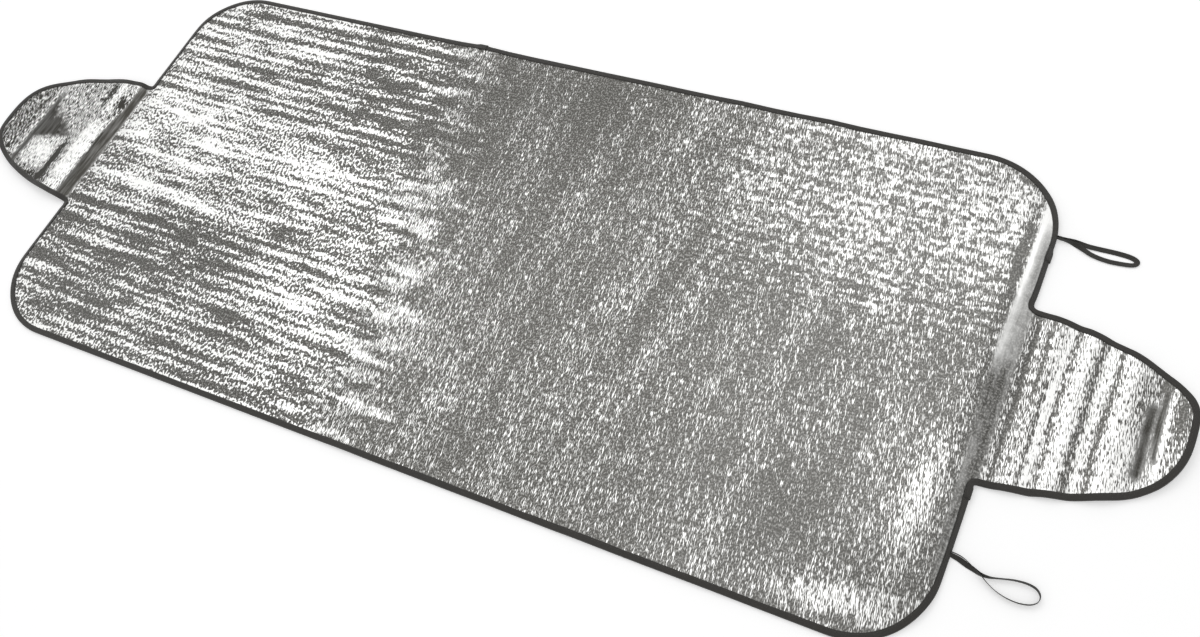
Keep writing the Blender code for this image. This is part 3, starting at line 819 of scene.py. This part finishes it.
def tape_finish(tape):
    """Dark woven binding tape: fine crosswise ribs and lengthwise yarns."""
    finish = Finish("woven_tape", tape.tape_colour, 0.82)
    run = finish.run()
    place = finish.place()
    ribs = finish.wave(run, "X", tape.weave_pitch, 0.6)
    yarns = finish.wave(run, "Y", tape.weave_pitch * 1.3, 0.6)
    weave = finish.times(ribs, yarns)
    wear = finish.noise(place, 4.0, 0.65, 60.0)
    fuzz = finish.noise(place, 2.0, 0.6, 700.0)
    worn = finish.mix_colour(finish.step(wear, 0.35, 0.75), tape.tape_colour, tape.worn_colour)
    threads = finish.mix_colour(finish.step(weave, 0.15, 0.75), tape.gap_colour, worn)
    finish.set("Base Color", finish.mix_colour(finish.step(fuzz, 0.62, 0.80), threads, tape.fuzz_colour))
    finish.set("Sheen Weight", 0.25)
    finish.set("Sheen Roughness", 0.5)
    woven = finish.bump(weave, 0.0003, 0.7)
    finish.set("Normal", finish.bump(fuzz, 0.0002, 0.4, woven))
    return finish.material


def thread_finish(tape):
    finish = Finish("sewing_thread", tape.thread_colour, 0.6)
    twist = finish.wave(finish.scaled(finish.place(), (1.0, 1.0, 1.0), 35.0), "X", 0.0005, 0.4)
    finish.set("Base Color", finish.mix_colour(twist, tape.thread_colour, tape.worn_colour))
    finish.set("Normal", finish.bump(twist, 0.0001, 0.6))
    return finish.material


def elastic_finish(loops):
    """Flat woven elastic: ribs along the band, closed by fine picks across it."""
    finish = Finish("woven_elastic", loops.elastic_colour, 0.7)
    run = finish.run()
    ribs = finish.wave(run, "Y", loops.rib_pitch, 0.1)
    picks = finish.wave(run, "X", loops.rib_pitch * 0.8, 0.3)
    weave = finish.times(finish.plus(ribs, 0.4), finish.plus(picks, 0.5))
    worn = finish.mix_colour(finish.step(weave, 0.2, 1.4), loops.elastic_shade, loops.elastic_colour)
    fuzz = finish.noise(finish.place(), 2.0, 0.6, 500.0)
    finish.set("Base Color", finish.mix_colour(finish.step(fuzz, 0.6, 0.8), worn, loops.elastic_fuzz))
    finish.set("Sheen Weight", 0.2)
    finish.set("Normal", finish.bump(weave, 0.00025, 0.8))
    return finish.material


# Shared mesh calls


def add_piece(name, points, faces, materials, material_numbers=None, smooth=True):
    mesh = bpy.data.meshes.new(name)
    mesh.from_pydata(np.asarray(points).tolist(), [], faces)
    for material in materials:
        mesh.materials.append(material)
    if material_numbers is not None:
        mesh.polygons.foreach_set("material_index", np.asarray(material_numbers, dtype=np.int32))
    mesh.polygons.foreach_set("use_smooth", np.full(len(mesh.polygons), smooth))
    made = bpy.data.objects.new(name, mesh)
    bpy.context.scene.collection.objects.link(made)
    return made


def carry(mesh, name, values):
    """Gives the mesh a number at each point, which its material reads."""
    made = mesh.attributes.new(name, "FLOAT", "POINT")
    made.data.foreach_set("value", np.asarray(values, dtype=np.float32))


def run_coordinates(mesh, along, across):
    """UV in metres along and across a band, for its weave."""
    layer = mesh.uv_layers.new(name="run")
    corners = np.empty(len(mesh.loops), dtype=np.int32)
    mesh.loops.foreach_get("vertex_index", corners)
    pairs = np.column_stack([np.asarray(along)[corners], np.asarray(across)[corners]])
    layer.data.foreach_set("uv", pairs.ravel().astype(np.float32))


def sweep(count, side):
    """Quads between successive rings of a section, with a cap at each end."""
    faces = []
    for here in range(0, (count - 1) * side, side):
        there = here + side
        faces += [(here + k, here + (k + 1) % side, there + (k + 1) % side, there + k) for k in range(side)]
    faces.append(tuple(reversed(range(side))))
    faces.append(tuple(range((count - 1) * side, count * side)))
    return faces


# The foil sheet

# Rings of the top's points across the strip beside the edge, as shares of its width
TOP_RINGS = (0.0, 0.34, 0.67, 1.0)
UNDER_RINGS = (0.0, 1.0)
# The share of lit facets stays this far from none and all, and turns into a level of the foil's noise
LEAST_SHARE = 0.02
LOGISTIC_SCALE = 1.7
# How strongly the rows' painted highlight and shade show in the foil's colour
ROW_CONTRAST = 1.35
EAR_CHAINED = 0.35


def fill_plan(ring, inner_points):
    """Triangles between a closed plan ring and the points inside it, with every point kept."""
    plan = np.vstack([ring, inner_points])
    made = delaunay_2d_cdt([Vector(p) for p in plan], [], [list(range(len(ring)))], 1, 1e-6)
    if len(made[0]) != len(plan):
        raise RuntimeError("the sheet's fill lost or added points")
    order = np.array([o[0] for o in made[3]])
    faces = order[np.array(made[2])]
    a, b, c = plan[faces[:, 0]], plan[faces[:, 1]], plan[faces[:, 2]]
    turning = (b[:, 0] - a[:, 0]) * (c[:, 1] - a[:, 1]) - (b[:, 1] - a[:, 1]) * (c[:, 0] - a[:, 0])
    faces[turning < 0] = faces[turning < 0][:, ::-1]
    return faces


def inside_ring(ring, points):
    """Which plan points lie inside a closed ring, column by column."""
    found = np.zeros(len(points), dtype=bool)
    following = np.roll(ring, -1, axis=0)
    for x in np.unique(points[:, 0]):
        here = np.nonzero(points[:, 0] == x)[0]
        spans = (ring[:, 0] > x) != (following[:, 0] > x)
        start, end = ring[spans], following[spans]
        cuts = start[:, 1] + (x - start[:, 0]) / (end[:, 0] - start[:, 0]) * (end[:, 1] - start[:, 1])
        found[here] = (points[here, 1][:, None] > cuts[None, :]).sum(axis=1) % 2 == 1
    return found


def grid_inside(sheet, ring, step_x, step_y, gap):
    """Plan points in rows and columns, kept clear of the ring."""
    xs = np.concatenate([
        np.arange(-GRID_END, -FINE_FROM, step_x * FINE_SHARE),
        np.arange(-FINE_FROM, FINE_FROM, step_x),
        np.arange(FINE_FROM, GRID_END, step_x * FINE_SHARE),
    ])
    ys = np.arange(-PANEL_SIDE, PANEL_SIDE, step_y)
    gx, gy = np.meshgrid(xs, ys, indexing="ij")
    points = np.column_stack([gx.ravel(), gy.ravel()])
    points = points[inside_ring(ring, points)]
    from_edge = sheet.edge_distance(points)
    clear = from_edge > STRIP_WIDTH + gap
    return points[clear], from_edge[clear]


def sheet_side(sheet, rows_in, step_x, step_y):
    """One face of the sheet as the underside's points: rings in from the rim, then the fill."""
    rings = [sheet.rim + sheet.inward * (sheet.strip * share)[:, None] for share in rows_in]
    inner_plan = rings[-1][:, :2]
    plan, from_edge = grid_inside(sheet, inner_plan, step_x, step_y, GRID_CLEAR_SHARE * max(step_x, step_y))
    middle = np.column_stack([plan, sheet.height(plan, from_edge)])
    count = len(sheet.rim)
    faces = fill_plan(inner_plan, plan) + count * (len(rings) - 1)
    strips = []
    for r in range(len(rings) - 1):
        for k in range(count):
            after = (k + 1) % count
            here, there = r * count, (r + 1) * count
            strips += [(here + k, here + after, there + after), (here + k, there + after, there + k)]
    points = np.vstack([*rings, middle])
    edge = np.concatenate([np.repeat(np.array(rows_in) * STRIP_WIDTH, count), from_edge])
    return points, np.vstack([np.array(strips), faces]), edge


def point_normals(points, faces):
    a, b, c = points[faces[:, 0]], points[faces[:, 1]], points[faces[:, 2]]
    facing = np.cross(b - a, c - a)
    found = np.zeros_like(points)
    for k in range(3):
        np.add.at(found, faces[:, k], facing)
    return unit(found)


def build_foil_sheet(foil):
    """The foil and foam laminate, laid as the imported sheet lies, with its emboss rows, streaks and creases."""
    coarse = 1.0
    sheet = RestingSheet(foil.edge_step * coarse)
    step_x, step_y = foil.grid_step_x * coarse, foil.grid_step_y * coarse
    top, top_faces, top_edge = sheet_side(sheet, TOP_RINGS, step_x, step_y)
    under, under_faces, _ = sheet_side(sheet, UNDER_RINGS, foil.underside_step, foil.underside_step)
    normals = point_normals(top, top_faces)
    count = len(sheet.rim)
    normals[:count] = sheet.up
    x, y = top[:, 0], top[:, 1]
    free = ease((top_edge - 0.85 * STRIP_WIDTH) / 0.012)
    lift = SHEET_THICKNESS + ripple_height(x, y, foil) * free
    top = top + normals * lift[:, None]
    walls = [(k, (k + 1) % count, (k + 1) % count + len(under), k + len(under)) for k in range(count)]
    points = np.vstack([under, top])
    faces = under_faces[:, ::-1].tolist() + (top_faces + len(under)).tolist() + walls
    numbers = [1] * len(under_faces) + [0] * len(top_faces) + [1] * len(walls)
    skin = add_piece("foil_skin", points, faces, [foil_finish(foil), foam_finish(foil)], numbers)
    px, py = points[:, 0], points[:, 1]
    share = np.clip(foil_light(px, py), LEAST_SHARE, 1.0 - LEAST_SHARE)
    carry(skin.data, "lit_share", share)
    carry(skin.data, "lit_level", np.log(share / (1.0 - share)) / LOGISTIC_SCALE)
    carry(skin.data, "row", row_number(px, py))
    carry(skin.data, "row_strength", ROW_CONTRAST * row_strength(px, py) * (past_end(px, py) < 0.004))
    for name, ears_value in (("streaky", 1.0), ("chained", EAR_CHAINED)):
        carry(skin.data, name, np.where(past_end(px, py) > 0.002, ears_value, streakiness(px, py)))
    carry(skin.data, "pressed", pressed(px, py))
    carry(skin.data, "shaded", ear_shade(px, py))
    # The dull foil's painted light, turned down where the foil is pressed flat
    carry(skin.data, "ground_light", ground_light(px, py) * (1.0 - PRESSED_FLAT * pressed(px, py)))
    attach(skin, ROOT)
    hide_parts(SHEET_NODE)


# The binding tape


def run_extent(sheet, node):
    """Where a run of tape starts and how long it is, by arc length round the rim."""
    marks = [sheet.near.find((v.co.x, v.co.y, 0.0))[1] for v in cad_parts[node].data.vertices]
    marks = np.unique(marks)
    gaps = np.diff(np.concatenate([marks, marks[:1] + len(sheet.rim)]))
    widest = int(np.argmax(gaps))
    start = marks[(widest + 1) % len(marks)]
    length = (marks[widest] - start) % len(sheet.rim)
    return start, length


def tape_profile(tape, extra):
    """Closed U round the sheet's edge, as (distance in, height over the underside), rounded at the fold."""
    gap = tape.clearance + extra
    outer = gap + tape.tape_thickness
    over, under = SHEET_THICKNESS + outer, SHEET_THICKNESS + gap
    leg, shoulder = tape.tape_leg, tape.tape_leg - 3 * TAPE_EDGE_ROUND
    bend, corner = TAPE_OUTER_BEND, 1.2 * TAPE_INNER_BEND - gap
    points = [(leg, over - TAPE_EDGE_ROUND), (shoulder, over), (0.66 * leg, over), (0.33 * leg, over)]
    turns = np.radians((90, 65, 40, 15))
    points += [(bend - outer - bend * math.cos(turn), over - bend + bend * math.sin(turn)) for turn in turns]
    points += [(bend - outer - bend * math.cos(turn), bend - outer - bend * math.sin(turn)) for turn in turns[::-1]]
    points += [(0.5 * leg, -outer), (shoulder, -outer), (leg, TAPE_EDGE_ROUND - outer)]
    points += [(leg, -gap), (0.5 * leg, -gap), (corner, -gap), (-gap, TAPE_INNER_BEND - gap)]
    points += [(-gap, under - TAPE_INNER_BEND), (corner, under), (0.5 * leg, under), (leg, under)]
    return np.array(points)


def build_tape_run(sheet, node, name, tape, material):
    """One run of tape, swept round the sheet's edge, standing over the run before it at its lap."""
    start, length = run_extent(sheet, node)
    numbers = (start + np.arange(length + 1)) % len(sheet.rim)
    run = np.arange(length + 1) * sheet.step
    rim, inward, up = sheet.rim[numbers], sheet.inward[numbers], sheet.up[numbers]
    joggle_start = TAPE_LAP + 2 * tape.clearance
    extra = TAPE_BUILD_UP * (1.0 - ease((run - joggle_start) / (TAPE_LAP + TAPE_JOGGLE - joggle_start)))
    x, y = rim[:, 0], rim[:, 1]
    waver = tape.waver * (drift(x, y, 0.030, 0.030, 61) + 0.5 * drift(x, y, 0.009, 0.009, 62))
    pucker = tape.pucker * np.maximum(0.0, drift(x, y, 0.006, 0.006, 63))
    rings = []
    for k in range(len(run)):
        profile = tape_profile(tape, extra[k])
        depth = np.clip(profile[:, 0] / tape.tape_leg, 0.0, 1.0)
        inner = profile[:, 0] + waver[k] * depth
        top = profile[:, 1] > SHEET_THICKNESS
        height = profile[:, 1] + pucker[k] * np.sin(math.pi * depth) * top
        ring = rim[k] + inward[k] * inner[:, None] + up[k] * height[:, None]
        ring[:, 2] += max(0.0, -ring[:, 2].min())
        rings.append(ring)
    rings = np.array(rings)
    faces = [face[::-1] for face in sweep(*rings.shape[:2])]
    made = add_piece(name, rings.reshape(-1, 3), faces, [material])
    section = tape_profile(tape, 0.0)
    across = arc_lengths(section)
    run_coordinates(made.data, np.repeat(run, len(section)), np.tile(across, len(run)))
    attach(made, ROOT)
    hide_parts(node)


def build_stitches(sheet, tape, material):
    """A row of stitches near the tape's inner edge, on its top and its underside."""
    spacing = tape.stitch_pitch
    count = int(sheet.length / spacing)
    at = np.arange(count) * sheet.length / count / sheet.step
    low = np.floor(at).astype(int) % len(sheet.rim)
    high = (low + 1) % len(sheet.rim)
    share = (at - np.floor(at))[:, None]
    rim = sheet.rim[low] * (1 - share) + sheet.rim[high] * share
    along = unit(sheet.rim[high] - sheet.rim[low])
    inward, up = sheet.inward[low], sheet.up[low]
    half, radius = tape.stitch_length / 2, tape.thread_width / 2
    points, faces = [], []
    height = SHEET_THICKNESS + tape.clearance + tape.tape_thickness
    for surface, way in ((height, 1.0), (-tape.clearance - tape.tape_thickness, -1.0)):
        for k in range(count):
            middle = rim[k] + inward[k] * (tape.tape_leg - tape.stitch_inset) + up[k] * surface
            middle[2] = max(middle[2], THREAD_REST * radius)
            first = len(points)
            for t, wide, rise in STITCH_STATIONS:
                centre = middle + along[k] * t * half + up[k] * way * rise * radius
                for side in range(THREAD_SIDES):
                    angle = 2 * math.pi * side / THREAD_SIDES
                    offset = inward[k] * math.cos(angle) + up[k] * math.sin(angle)
                    points.append(centre + offset * radius * wide)
            faces += [tuple(first + v for v in face) for face in sweep(len(STITCH_STATIONS), THREAD_SIDES)]
    made = add_piece("binding_stitches", points, faces, [material])
    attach(made, ROOT)


# The elastic loops


def smooth_route(route, step):
    """Evenly spaced points on a smooth curve through the route's own points."""
    points = np.array(route)
    padded = np.vstack([2 * points[0] - points[1], points, 2 * points[-1] - points[-2]])
    slope = (padded[2:] - padded[:-2]) / 2
    dense = curve_between(points[:-1], points[1:], slope[:-1], slope[1:], ROUTE_CURVE_POINTS)
    return evenly(np.vstack([dense, points[-1:]]), step, closed=False)


def build_loop(name, node, route, twist, loops, material):
    """A flat woven band along its route, turned about its own line as it goes, with both ends run into the tape."""
    line, length = smooth_route(route, loops.band_step)
    share = np.linspace(0.0, 1.0, len(line))
    turn = np.radians(at_knots(share, twist))
    window = 2 * TWIST_SMOOTHING + 1
    turn = np.convolve(np.pad(turn, TWIST_SMOOTHING, mode="edge"), np.ones(window) / window, "valid")
    tucked = loops.tuck * unit(line[0] - line[1])
    tucked_end = loops.tuck * unit(line[-1] - line[-2])
    line = np.vstack([line[:1] + tucked, line, line[-1:] + tucked_end])
    turn = np.concatenate([turn[:1], turn, turn[-1:]])
    w, t = loops.band_width / 2, loops.band_thickness / 2
    line[:, 2] = np.maximum(line[:, 2], w * abs(np.sin(turn)) + t * abs(np.cos(turn)) + loops.rest_gap)
    along = unit(np.gradient(line, axis=0))
    level = unit(np.cross(along, (0.0, 0.0, 1.0)))
    upward = np.cross(level, along)
    wide = level * np.cos(turn)[:, None] + upward * np.sin(turn)[:, None]
    thick = np.cross(wide, along)
    section = [(-w, 0.0), (-0.93 * w, -0.7 * t), (-0.7 * w, -t), (-0.35 * w, -0.92 * t), (0.0, -t)]
    section += [(0.35 * w, -0.92 * t), (0.7 * w, -t), (0.93 * w, -0.7 * t)]
    section = np.array(section + [(-a, -b) for a, b in section])
    rings = (
        line[:, None, :]
        + wide[:, None, :] * section[None, :, 0, None]
        + thick[:, None, :] * section[None, :, 1, None]
    )
    made = add_piece(name, rings.reshape(-1, 3), sweep(*rings.shape[:2]), [material])
    shape = bmesh.new()
    shape.from_mesh(made.data)
    bmesh.ops.recalc_face_normals(shape, faces=shape.faces)
    shape.to_mesh(made.data)
    shape.free()
    run_coordinates(made.data, np.repeat(arc_lengths(line), len(section)), np.tile(section[:, 0], len(line)))
    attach(made, ROOT)
    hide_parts(node)


# The studio

# The floor is lit evenly near the cover and fades to white between these distances from its middle
FLOOR_FADE = (1.6, 4.5)
FLOOR_DROP = 0.0002
# Place and size of the two area lamps
KEY_LAMP = ((-0.6, 1.1, 2.4), (2.4, 1.6))
FILL_LAMP = ((1.4, -1.8, 2.2), (1.6, 1.2))
SENSOR_WIDTH = 36.0
VIEW_DEPTH = 50.0


def build_floor(stage):
    half = stage.floor_size / 2
    corners = [(-half, -half, 0.0), (half, -half, 0.0), (half, half, 0.0), (-half, half, 0.0)]
    finish = Finish("pale_floor", stage.floor_colour, 0.9)
    finish.set("Specular IOR Level", 0.0)
    cloud = finish.noise(finish.place(), 2.0, 0.5, 0.8)
    finish.set("Base Color", finish.mix_colour(cloud, stage.floor_colour, stage.floor_shade))
    # Lifts the floor to white for the camera and for reflections, and leaves the cover's shadow
    finish.set("Emission Color", (1.0, 1.0, 1.0, 1.0))
    far = finish.node("ShaderNodeVectorMath", (0, finish.place()), operation="LENGTH").outputs["Value"]
    lift = finish.mix(finish.step(far, *FLOOR_FADE), stage.floor_lift, 1.0)
    finish.set("Emission Strength", finish.times(finish.seen(), lift))
    floor = add_piece("studio_floor", corners, [(0, 1, 2, 3)], [finish.material], smooth=False)
    floor.location.z = -FLOOR_DROP


def build_world(stage):
    """Even white surroundings, which light the cover a little less than they show."""
    world = bpy.data.worlds.new("studio")
    world.use_nodes = True
    background = world.node_tree.nodes["Background"].inputs
    background["Color"].default_value = (1.0, 1.0, 1.0, 1.0)
    nodes = Nodes(world.node_tree)
    nodes.put(background["Strength"], nodes.mix(nodes.seen(), stage.world_light, 1.0))
    bpy.context.scene.world = world


def build_lamp(name, place, size, power):
    """A rectangular lamp that looks at the middle of the cover."""
    data = bpy.data.lights.new(name, "AREA")
    data.shape = "RECTANGLE"
    data.size, data.size_y = size
    data.energy = power
    lamp = bpy.data.objects.new(name, data)
    lamp.location = place
    lamp.rotation_euler = (-Vector(place)).to_track_quat("-Z", "Y").to_euler()
    bpy.context.scene.collection.objects.link(lamp)


def build_camera(stage):
    data = bpy.data.cameras.new("camera")
    data.lens = stage.lens
    data.sensor_width = SENSOR_WIDTH
    data.clip_end = VIEW_DEPTH
    camera = bpy.data.objects.new("camera", data)
    away = Vector(stage.camera_target) - Vector(stage.camera_place)
    aim = away.to_track_quat("-Z", "Y").to_matrix().to_4x4()
    roll = Matrix.Rotation(math.radians(stage.camera_roll), 4, "Z")
    camera.matrix_world = Matrix.Translation(stage.camera_place) @ aim @ roll
    bpy.context.scene.collection.objects.link(camera)
    bpy.context.scene.camera = camera


# The add-on: settings, one operator for each group of pieces, and a panel


def length(name, default, description):
    return FloatProperty(name=name, description=description, default=default, min=0.0, unit="LENGTH", precision=5)


def number(name, default, description):
    return FloatProperty(name=name, description=description, default=default)


def colour(name, default, description):
    return FloatVectorProperty(
        name=name, description=description, default=default, size=3, min=0.0, max=1.0, subtype="COLOR"
    )


class FoilSettings(bpy.types.PropertyGroup):
    edge_step: length("Edge step", 0.0036, "Spacing of the points round the sheet's edge")
    grid_step_x: length("Grid step along", 0.0056, "Spacing of the top's points along the cover")
    grid_step_y: length("Grid step across", 0.0036, "Spacing of the top's points across the cover")
    underside_step: length("Underside step", 0.016, "Spacing of the underside's points")
    row_height: length("Row height", 0.00045, "Height of the emboss rows")
    streak_height: length("Streak height", 0.00018, "Height of the short streaks")
    facet_length: length("Facet length", 0.0058, "Length of the facets, across the rows")
    facet_width: length("Facet width", 0.0036, "Width of the facets, along the rows")
    facet_lean: number("Facet lean", 14.0, "Lean of the facets in the rows, in degrees")
    row_waver: number("Row waver", 0.26, "How far the rows' edges wander, as a share of a row")
    loose_row_waver: number("Loose row waver", 0.60, "The same for the faint rows among the short streaks")
    streak_width: length("Streak width", 0.0012, "Width of the short streaks")
    streak_length: length("Streak length", 0.0090, "Length of the short streaks")
    streak_lean: number("Streak lean", 9.0, "Lean of the short streaks, in degrees")
    facet_depth: length("Facet depth", 0.0004, "Depth of the emboss facets")
    foil_roughness: number("Foil roughness", 0.36, "Roughness of the foil")
    dull_colour: colour("Dull foil", (0.075, 0.073, 0.067), "Facets that look away from the light")
    bright_colour: colour("Bright foil", (0.93, 0.93, 0.915), "Facets that catch the light")
    pale_ground_colour: colour("Pale ground", (0.135, 0.133, 0.126), "Dull facets where they look palest")
    shaded_colour: colour("Shaded foil", (0.046, 0.044, 0.039), "Dull foil on the ears")
    fine_glint_colour: colour("Fine glints", (0.270, 0.267, 0.254), "Small glints in the dull foil")
    foam_colour: colour("Foam", (0.72, 0.72, 0.70), "Foam backing")
    foam_shade_colour: colour("Foam shade", (0.64, 0.64, 0.62), "Darker parts of the foam backing")


class TapeSettings(bpy.types.PropertyGroup):
    tape_leg: length("Leg", 0.0073, "Width of the tape on each side of the sheet")
    tape_thickness: length("Thickness", 0.0007, "Thickness of the tape")
    clearance: length("Clearance", 0.0003, "Gap between the tape and the sheet")
    waver: length("Waver", 0.00035, "How far the tape's inner edge wanders")
    pucker: length("Pucker", 0.00025, "Height of the tape's small puckers")
    weave_pitch: length("Weave pitch", 0.0009, "Spacing of the tape's ribs")
    stitch_pitch: length("Stitch pitch", 0.0046, "Spacing of the stitches")
    stitch_length: length("Stitch length", 0.0034, "Length of thread that each stitch shows")
    stitch_inset: length("Stitch inset", 0.0022, "Distance of the stitches from the tape's inner edge")
    thread_width: length("Thread width", 0.0005, "Width of the thread")
    tape_colour: colour("Tape", (0.043, 0.040, 0.034), "Binding tape")
    worn_colour: colour("Worn tape", (0.062, 0.058, 0.050), "Paler, rubbed tape")
    gap_colour: colour("Weave gaps", (0.024, 0.022, 0.019), "Gaps in the weave")
    fuzz_colour: colour("Fuzz", (0.085, 0.081, 0.071), "Loose fibres on the tape")
    thread_colour: colour("Thread", (0.040, 0.037, 0.031), "Sewing thread")


class LoopSettings(bpy.types.PropertyGroup):
    band_width: length("Band width", 0.0070, "Width of the elastic band")
    rest_gap: length("Rest gap", 0.0001, "Least height of the band over the floor")
    band_thickness: length("Band thickness", 0.0008, "Thickness of the elastic band")
    band_step: length("Band step", 0.0012, "Spacing of the sections along the band")
    tuck: length("Tuck", 0.0016, "How far each end runs into the binding")
    rib_pitch: length("Rib pitch", 0.0009, "Spacing of the ribs along the band")
    elastic_colour: colour("Elastic", (0.025, 0.023, 0.018), "Elastic band")
    elastic_shade: colour("Elastic shade", (0.010, 0.009, 0.007), "Between the elastic's ribs")
    elastic_fuzz: colour("Elastic fuzz", (0.042, 0.039, 0.032), "Loose fibres on the elastic")


class StageSettings(bpy.types.PropertyGroup):
    floor_size: length("Floor size", 14.0, "Side of the floor")
    floor_colour: colour("Floor", (0.86, 0.86, 0.86), "Floor")
    floor_shade: colour("Floor shade", (0.84, 0.84, 0.84), "Slightly darker parts of the floor")
    floor_lift: number("Floor lift", 0.38, "How much whiter the floor shows than it is lit")
    world_light: number("Surroundings", 0.62, "Strength of the light from all round")
    key_power: number("Key lamp", 12.0, "Power of the large lamp over the cover")
    fill_power: number("Fill lamp", 3.0, "Power of the lamp behind the camera")
    lens: number("Lens", 36.193, "Focal length in millimetres on a 36 mm sensor")
    camera_place: FloatVectorProperty(
        name="Camera place", description="Where the camera stands", default=(0.8522, -0.7345, 1.3824), size=3
    )
    camera_target: FloatVectorProperty(
        name="Camera target", description="What the camera looks at", default=(0.2172, -0.0558, 0.0), size=3
    )
    camera_roll: number("Camera roll", -21.114, "Turn of the camera about its own line of sight, in degrees")


class FROSTCOVER_OT_foil_sheet(bpy.types.Operator):
    """Build the foil sheet with its foam backing"""

    bl_idname = "frost_cover.foil_sheet"
    bl_label = "Foil Sheet"

    def execute(self, context):
        build_foil_sheet(context.scene.frost_foil)
        return {"FINISHED"}


class FROSTCOVER_OT_binding(bpy.types.Operator):
    """Build the three runs of binding tape and their stitches"""

    bl_idname = "frost_cover.binding"
    bl_label = "Binding Tape"

    def execute(self, context):
        tape = context.scene.frost_tape
        sheet = RestingSheet(context.scene.frost_foil.edge_step)
        woven = tape_finish(tape)
        for node in TAPE_NODES:
            build_tape_run(sheet, node, node.replace("binding", "tape"), tape, woven)
        build_stitches(sheet, tape, thread_finish(tape))
        return {"FINISHED"}


class FROSTCOVER_OT_loops(bpy.types.Operator):
    """Build the two elastic loops"""

    bl_idname = "frost_cover.loops"
    bl_label = "Elastic Loops"

    def execute(self, context):
        loops = context.scene.frost_loops
        woven = elastic_finish(loops)
        build_loop("upper_elastic", "upper_loop", UPPER_LOOP_ROUTE, UPPER_LOOP_TWIST, loops, woven)
        build_loop("lower_elastic", "lower_loop", LOWER_LOOP_ROUTE, LOWER_LOOP_TWIST, loops, woven)
        return {"FINISHED"}


class FROSTCOVER_OT_stage(bpy.types.Operator):
    """Build the floor, the lamps and the camera"""

    bl_idname = "frost_cover.stage"
    bl_label = "Studio"

    def execute(self, context):
        stage = context.scene.frost_stage
        build_floor(stage)
        build_world(stage)
        build_lamp("key_lamp", *KEY_LAMP, stage.key_power)
        build_lamp("fill_lamp", *FILL_LAMP, stage.fill_power)
        build_camera(stage)
        context.scene.view_settings.view_transform = "Standard"
        return {"FINISHED"}


class FROSTCOVER_PT_panel(bpy.types.Panel):
    """Steps that build the frost cover"""

    bl_label = "Frost Cover"
    bl_space_type = "VIEW_3D"
    bl_region_type = "UI"
    bl_category = "Frost Cover"

    def draw(self, context):
        for step in STEPS:
            self.layout.operator(step.bl_idname)
        for group in SETTINGS:
            settings = getattr(context.scene, group)
            for name in settings.__annotations__:
                self.layout.prop(settings, name)


SETTINGS = {
    "frost_foil": FoilSettings,
    "frost_tape": TapeSettings,
    "frost_loops": LoopSettings,
    "frost_stage": StageSettings,
}
STEPS = (FROSTCOVER_OT_stage, FROSTCOVER_OT_foil_sheet, FROSTCOVER_OT_binding, FROSTCOVER_OT_loops)


def register():
    for made in (*SETTINGS.values(), *STEPS, FROSTCOVER_PT_panel):
        bpy.utils.register_class(made)
    for name, group in SETTINGS.items():
        setattr(bpy.types.Scene, name, PointerProperty(type=group))


def unregister():
    for name in SETTINGS:
        delattr(bpy.types.Scene, name)
    for made in (FROSTCOVER_PT_panel, *reversed(STEPS), *SETTINGS.values()):
        bpy.utils.unregister_class(made)


def build_cover():
    register()
    bpy.ops.frost_cover.stage()
    bpy.ops.frost_cover.foil_sheet()
    bpy.ops.frost_cover.binding()
    bpy.ops.frost_cover.loops()


if __name__ == "__main__":
    build_cover()
